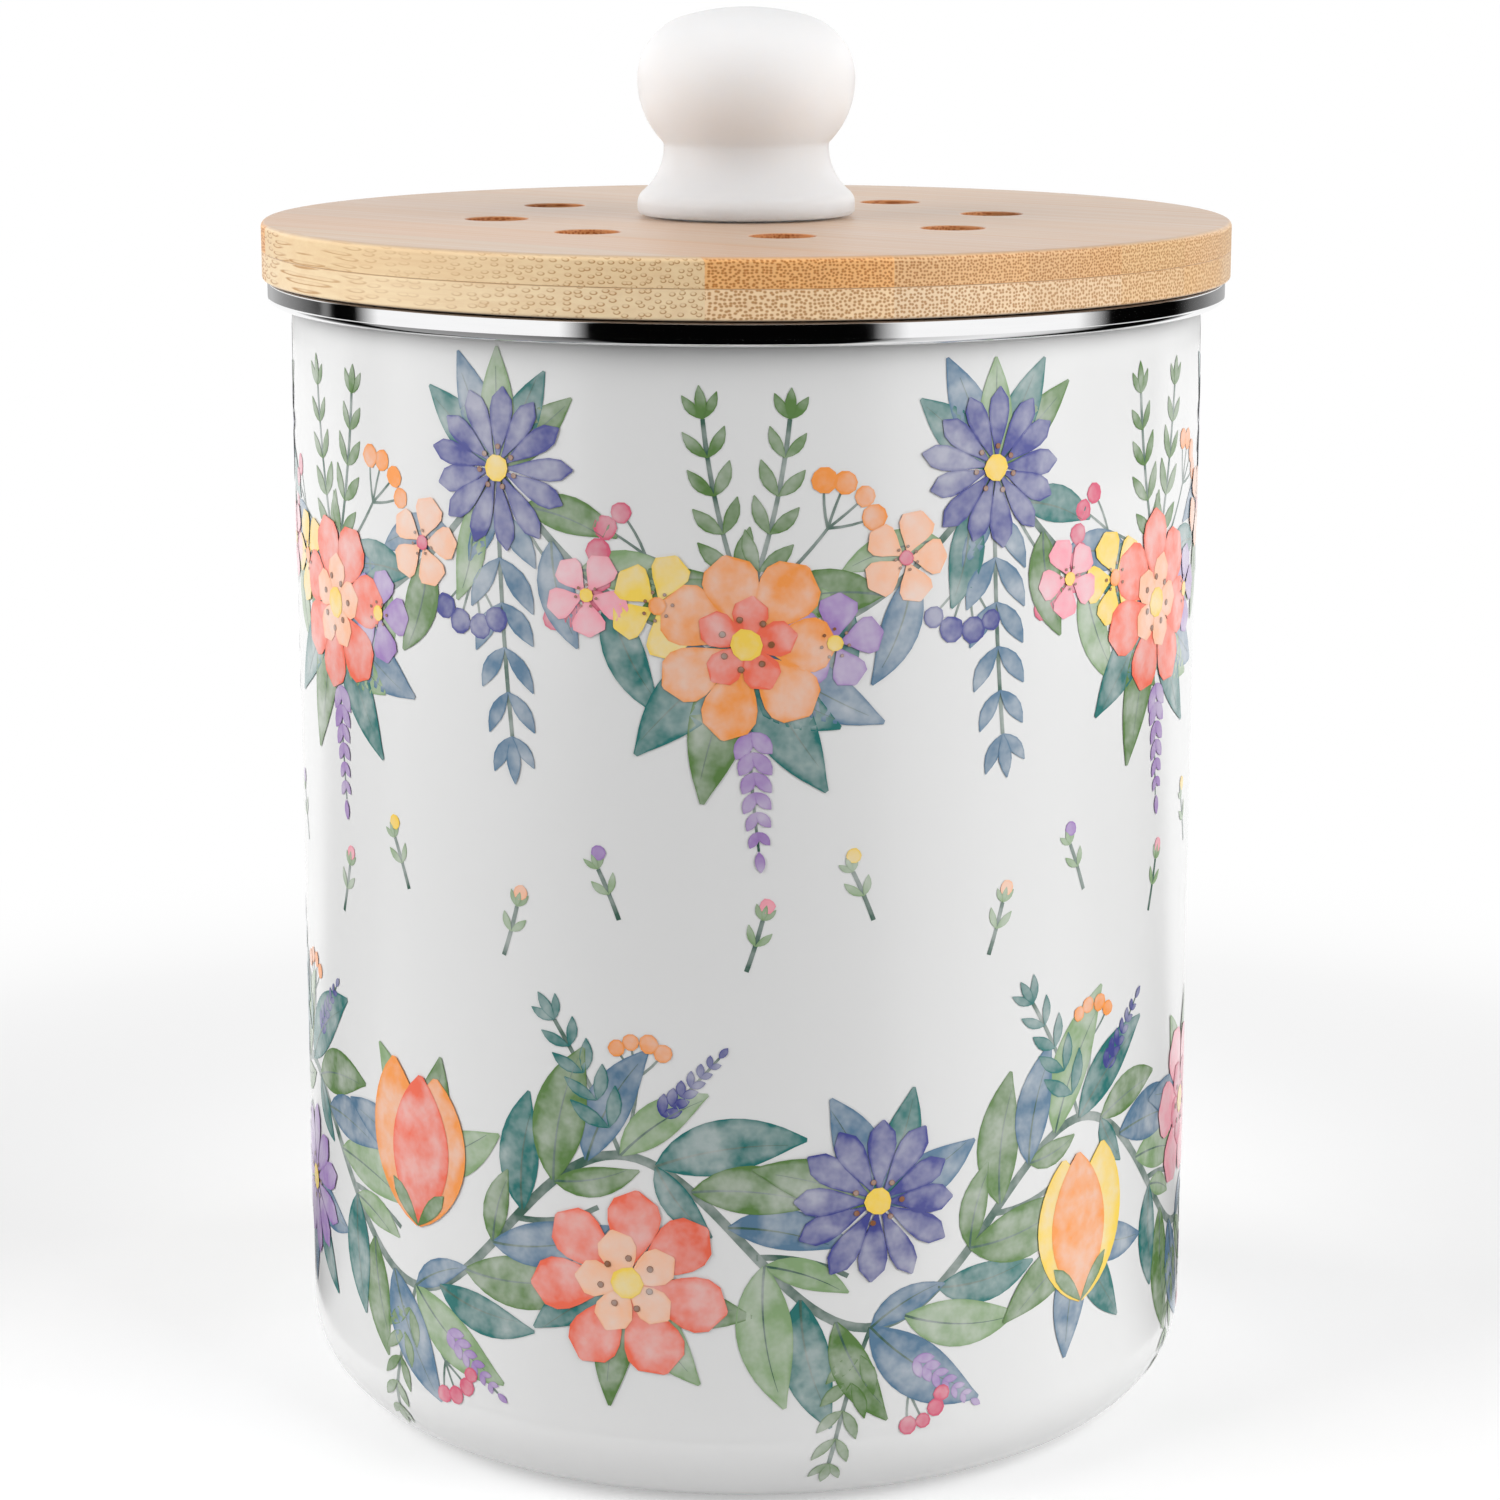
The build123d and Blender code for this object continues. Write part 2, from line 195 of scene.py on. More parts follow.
class CaddyFilter(bpy.types.PropertyGroup):
    """The charcoal pad, the tray that holds it, and the metal fixings."""

    felt: colour("Felt", tone(38, 38, 40), "Colour of the charcoal felt")
    edge_round: length("Edge round", 2.2 * MM, "Soft round of the pad's edges")
    fuzz: length("Fuzz", 0.25 * MM, "Height of the felt's unevenness")
    steel: colour("Steel", (0.62, 0.62, 0.63), "Colour of the tray and screws")
    brass: colour("Brass", (0.72, 0.52, 0.22), "Colour of the threaded insert")


class CaddyPrint(bpy.types.PropertyGroup):
    """The painted garland and scroll on the can."""

    bays: count("Bays", 6, "How many times the pattern goes round the can")
    garland_height: length("Garland height", 177 * MM, "Height that the garland hangs from")
    garland_sag: length("Garland sag", 27 * MM, "How far each swag hangs down")
    scroll_height: length("Scroll height", 49 * MM, "Middle height of the scrolling stem")
    scroll_swing: length("Scroll swing", 15 * MM, "How far the scrolling stem swings up and down")
    step: length("Paint step", 0.02 * MM, "Height of each layer of paint over the last")
    coral: colour("Coral", tone(232, 104, 78), "Paint of the large rosettes")
    orange: colour("Orange", tone(240, 146, 72), "Paint of the cups")
    peach: colour("Peach", tone(246, 178, 142), "Paint of the inner petals")
    pink: colour("Pink", tone(236, 150, 164), "Paint of the small blossoms")
    rose: colour("Rose", tone(206, 92, 118), "Paint of the buds")
    yellow: colour("Yellow", tone(244, 200, 84), "Paint of the hearts")
    teal: colour("Teal", tone(38, 108, 104), "Paint of the broad leaves")
    sage: colour("Sage", tone(128, 156, 112), "Paint of the pale leaves")
    slate: colour("Slate", tone(84, 116, 142), "Paint of the blue-grey leaves")
    leaf: colour("Leaf", tone(88, 122, 66), "Paint of the small leaves")
    indigo: colour("Indigo", tone(66, 70, 136), "Paint of the dark daisies")
    violet: colour("Violet", tone(152, 120, 178), "Paint of the spikes")
    stem: colour("Stem", tone(58, 92, 78), "Paint of the stems")
    umber: colour("Umber", tone(132, 84, 52), "Paint of the dark seeds")


class CaddyStudio(bpy.types.PropertyGroup):
    """The floor, the soft light, the dark cards and the camera."""

    camera_distance: length("Camera distance", 687 * MM, "Distance from the can's axis")
    camera_rise: length("Camera rise", 51 * MM, "Height of the camera above the lid")
    camera_tilt: angle("Camera tilt", 12.1, "How far the camera looks down")
    lens: amount("Lens", 92.9, "Focal length on a 36 mm sensor", "CAMERA")
    shift: amount("Shift", 0.0025, "Sideways shift of the picture")
    light_distance: length("Light distance", 1.3, "Distance of the side lights")
    left_light: angle("Left light", -78, "Middle of the left light, seen from above")
    right_light: angle("Right light", 65, "Middle of the right light, seen from above")
    light_spread: angle("Light spread", 33, "Half of the angle that a side light covers")
    light_top: length("Light top", 1.6, "Upper edge of the side lights")
    light_foot: length("Light foot", 0.3, "Lower edge of the side lights")
    light_power: amount("Light power", 15.0, "Power of each side light", "POWER")
    back_top: length("Back light top", 0.75, "Upper edge of the light behind the can")
    back_foot: length("Back light foot", 0.15, "Lower edge of the light behind the can")
    back_power: amount("Back power", 9.0, "Power of the light behind the can", "POWER")
    sky: colour("Sky", (0.05, 0.052, 0.056), "Even light from all round")
    card: colour("Card", (0.001, 0.001, 0.001), "Colour of the dark cards")
    card_distance: length("Card distance", 1.25, "Distance of the cards round the can")
    floor_radius: length("Floor radius", 6.0, "How far the floor reaches")
    floor_near: colour("Floor near the can", (0.62, 0.62, 0.62), "The floor beside the can")
    floor: colour("Floor", (0.32, 0.32, 0.32), "Colour of the floor further off")


# Section lines and the meshes made from them

def rounded(corners, radii, steps=8):
    """A line through the corners, with each inner corner rounded to its own radius."""
    points = [Vector(corners[0])]
    for before, corner, after, radius in zip(corners, corners[1:], corners[2:], radii):
        corner = Vector(corner)
        back = (Vector(before) - corner).normalized()
        ahead = (Vector(after) - corner).normalized()
        half_angle = back.angle(ahead) / 2
        middle = corner + (back + ahead).normalized() * (radius / sin(half_angle))
        start = (corner + back * (radius / tan(half_angle)) - middle).normalized()
        end = (corner + ahead * (radius / tan(half_angle)) - middle).normalized()
        for step in range(steps + 1):
            points.append(middle + start.slerp(end, step / steps) * radius)
    points.append(Vector(corners[-1]))
    return points


def thickened(line, wall):
    """A closed section: the line, and a second line at its left, one wall away."""
    least_dot = 0.2
    runs = [(b - a).normalized() for a, b in zip(line, line[1:])]
    other = []
    for place, point in enumerate(line):
        before = runs[max(place - 1, 0)]
        after = runs[min(place, len(runs) - 1)]
        along = (before + after).normalized()
        across = Vector((-along.y, along.x))
        other.append(point + across * (wall / max(along.dot(after), least_dot)))
    return line + other[::-1]


class Pen:
    """Draws a section as a moving pen does: each arc leaves the last in the same direction."""

    def __init__(self, radius, height, heading):
        self.points = [Vector((radius, height))]
        self.heading = radians(heading)

    @property
    def place(self):
        return self.points[-1]

    def straight(self, distance):
        self.points.append(self.place + distance * Vector((cos(self.heading), sin(self.heading))))

    def corner(self, turn):
        self.heading += radians(turn)

    def arc(self, radius, turn, steps=16):
        """Turns to the left by turn degrees, or to the right where turn is below zero."""
        side = 1 if turn > 0 else -1
        centre = self.place + radius * side * Vector((-sin(self.heading), cos(self.heading)))
        spoke = self.place - centre
        for step in range(1, steps + 1):
            swing = radians(turn) * step / steps
            x = spoke.x * cos(swing) - spoke.y * sin(swing)
            y = spoke.x * sin(swing) + spoke.y * cos(swing)
            self.points.append(centre + Vector((x, y)))
        self.heading += radians(turn)


def ring_of(form, x, y, radius, height, steps):
    """A ring of points, or a single one where the radius is nothing."""
    if radius < ON_AXIS:
        return [form.verts.new((x, y, height))]
    ring = []
    for step in range(steps):
        swing = 2 * pi * step / steps
        ring.append(form.verts.new((x + radius * cos(swing), y + radius * sin(swing), height)))
    return ring


def bridge(form, lower, upper):
    """Faces between two rings, either of which may be a single point on the axis."""
    steps = max(len(lower), len(upper))
    for step in range(steps):
        after = (step + 1) % steps
        corners = [lower[step % len(lower)], lower[after % len(lower)]]
        corners += [upper[after % len(upper)], upper[step % len(upper)]]
        form.faces.new(list(dict.fromkeys(corners)))


def mesh_from(name, form, sharp=32):
    """A smooth mesh from the form, with hard edges where it turns by more than the sharp angle."""
    bmesh.ops.recalc_face_normals(form, faces=form.faces[:])
    mesh = bpy.data.meshes.new(name)
    form.to_mesh(mesh)
    form.free()
    mesh.shade_smooth()
    mesh.set_sharp_from_angle(angle=radians(sharp))
    return mesh


def turned(name, line, closed=False, steps=ROUND_STEPS):
    """A mesh turned from a section line of points at a radius and a height."""
    form = bmesh.new()
    rings = [ring_of(form, 0, 0, point[0], point[1], steps) for point in line]
    for lower, upper in zip(rings, rings[1:]):
        if len(lower) > 1 or len(upper) > 1:
            bridge(form, lower, upper)
    if closed:
        bridge(form, rings[-1], rings[0])
    return mesh_from(name, form)


def edge_loop(form, loop):
    return [form.edges.get(pair) for pair in zip(loop, loop[1:] + loop[:1])]


def drilled(name, rim, bores):
    """A plate with flat faces. The rim, and each bore at its place, has a section from the
    upper face to the lower one; a bore is (x, y, section, steps)."""
    form = bmesh.new()
    upper_edges, lower_edges = [], []
    for x, y, section, steps in [(0, 0, rim, ROUND_STEPS)] + bores:
        rings = [ring_of(form, x, y, point[0], point[1], steps) for point in section]
        for upper, lower in zip(rings, rings[1:]):
            bridge(form, upper, lower)
        upper_edges += edge_loop(form, rings[0])
        lower_edges += edge_loop(form, rings[-1])
    for edges in (upper_edges, lower_edges):
        bmesh.ops.triangle_fill(form, use_beauty=True, use_dissolve=False, edges=edges)
    return mesh_from(name, form)


def mark_points(mesh, name, marks):
    """A UV map in which each point of the mesh has its own mark."""
    layer = mesh.uv_layers.new(name=name)
    for corner in mesh.loops:
        layer.data[corner.index].uv = marks[corner.vertex_index]


def put_in_scene(data):
    item = bpy.data.objects.new(data.name, data)
    bpy.context.scene.collection.objects.link(item)
    return item


def install(mesh, finish, body, node):
    """Puts a mesh in the scene with its finish, on its body, in the place of its CAD node."""
    mesh.materials.append(finish)
    piece = put_in_scene(mesh)
    piece.modifiers.new("Face weights", "WEIGHTED_NORMAL").keep_sharp = True
    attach(piece, body)
    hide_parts(node)
    return piece


# Finishes

class Nodes:
    """A node tree that is put together one node at a time."""

    def __init__(self, tree):
        self.tree = tree

    def feed(self, socket, value):
        if isinstance(value, bpy.types.NodeSocket):
            self.tree.links.new(value, socket)
        elif hasattr(value, "__len__") and len(value) == 3 and len(socket.default_value) == 4:
            socket.default_value = (*value, 1.0)
        else:
            socket.default_value = value

    def add(self, kind, inputs, **settings):
        node = self.tree.nodes.new("ShaderNode" + kind)
        for key, value in settings.items():
            setattr(node, key, value)
        for key, value in inputs.items():
            self.feed(node.inputs[key], value)
        return node

    def math(self, operation, first, second=0.0, third=0.0, clamp=False):
        inputs = {0: first, 1: second, 2: third}
        return self.add("Math", inputs, operation=operation, use_clamp=clamp).outputs[0]

    def times(self, first, second):
        return self.math("MULTIPLY", first, second)

    def most(self, first, second):
        return self.math("MAXIMUM", first, second)

    def mix(self, factor, first, second, blend="MIX"):
        inputs = {0: factor, 6: first, 7: second}
        return self.add("Mix", inputs, data_type="RGBA", blend_type=blend).outputs[2]

    def looked_at(self):
        """1 for rays from the camera, a reflection or a clear surface, and 0 for the others."""
        path = self.add("LightPath", {}).outputs
        seen = self.most(path["Is Camera Ray"], path["Is Glossy Ray"])
        return self.most(seen, path["Is Transmission Ray"])


class Finish(Nodes):
    """A node material."""

    def __init__(self, name, surface):
        self.material = bpy.data.materials.new(name)
        self.material.use_nodes = True
        super().__init__(self.material.node_tree)
        self.surface = self.tree.nodes["Principled BSDF"]
        for socket, value in surface.items():
            self.feed(self.surface.inputs[socket], value)

    def where(self, kind="Object"):
        return self.add("TexCoord", {}).outputs[kind]

    def place(self, scale=(1, 1, 1), turn=0.0):
        """Object coordinates turned about the can's axis, then scaled."""
        turned_place = self.add("Mapping", {"Vector": self.where(), "Rotation": (0, 0, turn)})
        sized = self.add("Mapping", {"Vector": turned_place.outputs[0], "Scale": scale})
        return sized.outputs[0]

    def parts(self, vector):
        return self.add("SeparateXYZ", {"Vector": vector}).outputs

    def vector(self, operation, *vectors):
        return self.add("VectorMath", dict(enumerate(vectors)), operation=operation).outputs

    def clouds(self, scale, detail=3.0, vector=None, roughness=0.5):
        inputs = {"Scale": scale, "Detail": detail, "Roughness": roughness}
        inputs["Vector"] = vector or self.place()
        return self.add("TexNoise", inputs).outputs["Fac"]

    def colour_ramp(self, factor, stops, interpolation="LINEAR"):
        """A ramp of stops, each (place, (red, green, blue, cover))."""
        node = self.add("ValToRGB", {"Fac": factor})
        elements = node.color_ramp.elements
        node.color_ramp.interpolation = interpolation
        while len(elements) < len(stops):
            elements.new(0.5)
        for element, (place, shade) in zip(elements, stops):
            element.position = place
            element.color = shade
        return node.outputs

    def ramp(self, factor, stops, interpolation="LINEAR"):
        """A ramp of stops, each (place, colour), where a colour may be one grey value."""
        full = []
        for place, value in stops:
            shade = (value, value, value) if isinstance(value, (int, float)) else value
            full.append((place, (*shade, 1.0)))
        return self.colour_ramp(factor, full, interpolation)["Color"]

    def colour(self, output):
        self.feed(self.surface.inputs["Base Color"], output)

    def drift(self, factor, paint, share):
        """Colours the surface with the paint, which the factor darkens to a share of itself."""
        self.colour(self.mix(factor, paint, tuple(value * share for value in paint)))

    def rough(self, factor, low, high):
        span = self.add("MapRange", {"Value": factor, "To Min": low, "To Max": high})
        self.feed(self.surface.inputs["Roughness"], span.outputs[0])

    def relief(self, height, depth, strength=1.0):
        """Bump of the given depth in metres."""
        bump = self.add("Bump", {"Height": height, "Distance": depth, "Strength": strength})
        self.feed(self.surface.inputs["Normal"], bump.outputs[0])

    def glow(self, paint, strength):
        return self.add("Emission", {"Color": paint, "Strength": strength}).outputs[0]

    def clear(self):
        return self.add("BsdfTransparent", {}).outputs[0]

    def blend(self, factor, first, second):
        return self.add("MixShader", {0: factor, 1: first, 2: second}).outputs[0]

    def show(self, shader):
        self.feed(self.tree.nodes["Material Output"].inputs["Surface"], shader)


def enamel_finish(sizes):
    finish = Finish("white_enamel", {"Coat Weight": 0.25, "Coat Roughness": 0.06})
    finish.drift(finish.clouds(9.0, 2.0), sizes.enamel, 0.975)
    finish.rough(finish.clouds(60.0, 3.0), 0.16, 0.24)
    finish.relief(finish.clouds(420.0, 2.0), 0.02 * MM, 0.35)
    return finish.material


def rim_finish(sizes):
    finish = Finish("polished_rim_steel", {"Metallic": 1.0})
    haze = finish.clouds(70.0, 4.0, finish.place((1, 1, 14)))
    finish.drift(haze, sizes.rim, 0.93)
    finish.rough(haze, 0.03, 0.08)
    finish.relief(finish.clouds(900.0, 2.0, finish.place((0.05, 0.05, 1))), 0.01 * MM, 0.2)
    return finish.material


def glaze_finish(sizes):
    surface = {
        "Subsurface Weight": 1.0,
        "Subsurface Scale": 26 * MM,
        "Subsurface Radius": (1.0, 0.95, 0.9),
        "Specular IOR Level": 0.15,
        "Coat Weight": 0.16,
        "Coat Roughness": 0.05,
    }
    finish = Finish("white_glaze", surface)
    finish.drift(finish.clouds(40.0, 3.0), sizes.glaze, 0.97)
    finish.rough(finish.clouds(90.0, 2.0), 0.36, 0.46)
    finish.relief(finish.clouds(110.0, 2.0), 0.02 * MM, 0.2)
    return finish.material


def seal_finish(sizes):
    finish = Finish("soft_seal", {"Subsurface Weight": 0.15, "Subsurface Scale": 1 * MM})
    finish.drift(finish.clouds(50.0), sizes.seal, 0.9)
    finish.rough(finish.clouds(300.0), 0.42, 0.58)
    finish.relief(finish.clouds(900.0), 0.03 * MM, 0.3)
    return finish.material


def metal_finish(name, metal, low, high, stretch=(1, 1, 1)):
    finish = Finish(name, {"Metallic": 1.0})
    haze = finish.clouds(180.0, 4.0, finish.place(stretch), 0.6)
    finish.drift(haze, metal, 0.86)
    finish.rough(haze, low, high)
    finish.relief(haze, 0.02 * MM, 0.3)
    return finish.material


def felt_finish(sizes):
    surface = {"Sheen Weight": 0.5, "Sheen Roughness": 0.6, "Roughness": 0.95}
    finish = Finish("charcoal_felt", surface)
    fibres = finish.clouds(900.0, 6.0, roughness=0.7)
    grains = finish.add("TexVoronoi", {"Vector": finish.place(), "Scale": 700.0})
    lit = finish.ramp(fibres, [(0.45, 0.0), (0.75, 1.0)])
    body = finish.mix(lit, sizes.felt, tuple(min(value * 3.2, 1.0) for value in sizes.felt))
    pits = finish.ramp(grains.outputs["Distance"], [(0.0, 0.7), (0.35, 0.0)])
    finish.colour(finish.mix(pits, body, (0.006, 0.006, 0.007)))
    finish.relief(fibres, 0.4 * MM, 0.8)
    return finish.material


class Bamboo(Finish):
    """Bamboo strips laid side by side. The fibres run along the grain, so they show as pores on
    end grain and as streaks elsewhere."""

    def __init__(self, name, sizes):
        super().__init__(name, {"Coat Weight": 0.12, "Coat Roughness": 0.2})
        self.sizes = sizes
        self.turn = -sizes.grain_turn
        self.radius = reach("lid_upper_ply")
        self.across, self.along, self.height = self.parts(self.place((1, 1, 1), self.turn))

    def laid(self, strips):
        """The strips' colour, their share of filled pores, and the joints between them."""
        share = self.math("MULTIPLY_ADD", self.across, 0.5 / self.radius, 0.5)
        thin = self.sizes.strip_joint / self.radius / 2
        colours = [(0.0, tone(*strips[0][1]))]
        filled = [(0.0, strips[0][2])]
        joints = []
        for (edge, _, _), (_, shade, pores) in zip(strips, strips[1:]):
            place = edge * MM / self.radius / 2 + 0.5
            colours.append((place, tone(*shade)))
            filled.append((place, pores))
            joints += [(place - thin, 0.0), (place, 0.5), (place + thin, 0.0)]
        strip = self.ramp(share, colours, "CONSTANT")
        return strip, self.ramp(share, filled, "CONSTANT"), self.ramp(share, joints)

    def facings(self):
        """How far the surface is end grain, and how far it is one of the broad faces."""
        normal = self.where("Normal")
        grain = (sin(self.sizes.grain_turn), -cos(self.sizes.grain_turn), 0)
        facing = self.vector("DOT_PRODUCT", normal, grain)["Value"]
        end_grain = self.ramp(self.math("ABSOLUTE", facing), [(0.03, 0.3), (0.4, 1.0)])
        broad = self.math("ABSOLUTE", self.parts(normal)[2])
        return end_grain, self.ramp(broad, [(0.5, 0.0), (0.95, 1.0)])

    def pores(self, filled, pitch):
        """The ends of the fibres: spots where they are filled, and rings where not. Each ring is
        darker on its lower side, as painted shade in the open pore. They spread partly with the way
        round the edge and partly with the way across the grain."""
        round_share = 0.25
        sparse, denser = 0.64 / pitch, 0.56 / pitch
        # The side of each open pore that takes painted shade
        painted_shade_side = (0.4, -0.9, 0)
        wander = self.clouds(1.0, 1.0, self.place((70, 45, 70), self.turn))
        wander = self.times(wander, self.sizes.fibre_wander)
        swing = self.math("ARCTAN2", self.across, self.times(self.along, -1.0))
        spread = self.times(swing, round_share * self.radius)
        spread = self.math("MULTIPLY_ADD", self.across, 1 - round_share, spread)
        around = self.math("ADD", spread, wander)
        section = self.add(
            "CombineXYZ", {"X": around, "Y": self.math("SUBTRACT", self.height, wander)}
        )
        density = self.math("MULTIPLY_ADD", filled, denser, sparse)
        inputs = {0: section.outputs[0], "Scale": density}
        sized = self.add("VectorMath", inputs, operation="SCALE").outputs[0]
        inputs = {"Vector": sized, "Scale": 1.0, "Randomness": 0.66}
        cells = self.add("TexVoronoi", inputs, voronoi_dimensions="2D").outputs
        spots = self.ramp(cells["Distance"], [(0.22, 1.0), (0.48, 0.0)])
        arc_stops = [(0.16, 0.1), (0.24, 1.0), (0.3, 1.0), (0.38, 0.0)]
        arc = self.ramp(cells["Distance"], arc_stops)
        way = self.vector("SUBTRACT", sized, cells["Position"])[0]
        shaded_side_share = self.vector("DOT_PRODUCT", way, painted_shade_side)["Value"]
        shaded_side_share = self.math("ADD", shaded_side_share, 0.5)
        # Painted shade: each ring is darkest on its shaded side
        rings_with_painted_shade = self.times(arc, self.ramp(shaded_side_share, [(0.3, 0.25), (0.6, 1.0)]))
        return self.mix(filled, rings_with_painted_shade, spots)

    def darkened_vent_tops(self, body, upright):
        """The body, darker at the top of each vent and fading back to the body's colour further
        down.
        """
        away = self.vector("LENGTH", self.place((1, 1, 0)))["Value"]
        inside = self.math("LESS_THAN", away, self.sizes.vent_ring + 2 * self.sizes.vent_radius)
        depth = self.math("SUBTRACT", top("lid_upper_ply"), self.height)
        depth = self.math("DIVIDE", depth, self.sizes.top_dark_depth)
        top_darkening = self.ramp(depth, [(0.0, 0.95), (0.55, 0.75), (1.0, 0.15)])
        return self.mix(self.times(self.times(inside, upright), top_darkening), body, self.sizes.bore)


def bamboo_finish(name, sizes, strips, pitch, bored=True):
    """Bamboo of the given strips, with fibres one pitch apart. Bored wood is darker in its
    holes."""
    finish = Bamboo(name, sizes)
    strip, filled, joint = finish.laid(strips)
    end_grain, broad = finish.facings()
    upright = finish.math("SUBTRACT", 1.0, broad)
    pores = finish.times(finish.pores(filled, pitch), finish.times(end_grain, upright))
    streaks = finish.clouds(1.0, 5.0, finish.place((620, 7, 620), finish.turn), 0.7)
    streaks = finish.ramp(streaks, [(0.35, 0.0), (0.7, 1.0)])
    drift = finish.clouds(1.0, 2.0, finish.place((60, 3, 60), finish.turn), 0.5)

    # The broad faces take mostly the face colour, a painted shade and sheen laid over the strips'
    # own colour.
    body = finish.mix(broad, strip, finish.mix(0.27, sizes.face_painted_shade, strip))
    streak_show = finish.math("MULTIPLY_ADD", end_grain, -0.25, 0.5)
    body = finish.mix(finish.times(streaks, streak_show), body, sizes.streak)
    body = finish.mix(finish.times(drift, 0.2), body, sizes.bamboo)
    if bored:
        body = finish.darkened_vent_tops(body, upright)
    dark_body = finish.mix(1.0, body, sizes.fibre, "MULTIPLY")
    glue = finish.math("SUBTRACT", finish.height, foot("lid_upper_ply"))
    glue = finish.math("DIVIDE", finish.math("ABSOLUTE", glue), sizes.glue_line)
    glue = finish.ramp(glue, [(0.4, 0.5), (1.0, 0.0)])
    marks = finish.most(finish.times(pores, sizes.fibre_show), finish.most(glue, joint))
    marks = finish.most(finish.times(marks, upright), finish.times(joint, 0.4))
    finish.colour(finish.mix(marks, body, dark_body))
    finish.rough(streaks, 0.30, 0.46)
    finish.relief(finish.math("SUBTRACT", streaks, pores), 0.03 * MM, 0.3)
    return finish.material


# The studio

def card_finish(name, tones):
    """Greys round a ring of card, for reflections alone. The tones are (angle from the viewer in
    degrees, grey, cover), where a cover of 0 is clear."""
    finish = Finish(name, {})
    stops = [(swing / 360 + 0.5, (grey, grey, grey, cover)) for swing, grey, cover in tones]
    ramp = finish.colour_ramp(finish.parts(finish.where("UV"))[0], stops)
    card = finish.glow(ramp["Color"], 1.0)
    finish.show(finish.blend(ramp["Alpha"], finish.clear(), card))
    return finish.material


def ring_card(name, near, far, tones):
    """A ring of card round the can, from the place near to the place far, each a radius and a
    height. Only reflections see it."""
    points = []
    marks = []
    for step in range(STUDIO_STEPS + 1):
        swing = pi * (2 * step / STUDIO_STEPS - 1)
        for side, (radius, height) in enumerate((near, far)):
            points.append((radius * sin(swing), -radius * cos(swing), height))
            marks.append((step / STUDIO_STEPS, side))
    firsts = range(0, 2 * STUDIO_STEPS, 2)
    faces = [(first, first + 2, first + 3, first + 1) for first in firsts]
    mesh = bpy.data.meshes.new(name)
    mesh.from_pydata(points, [], faces)
    mark_points(mesh, "round", marks)
    mesh.materials.append(card_finish(name, tones))
    card = put_in_scene(mesh)
    card.visible_camera = False
    card.visible_diffuse = False
    card.visible_shadow = False


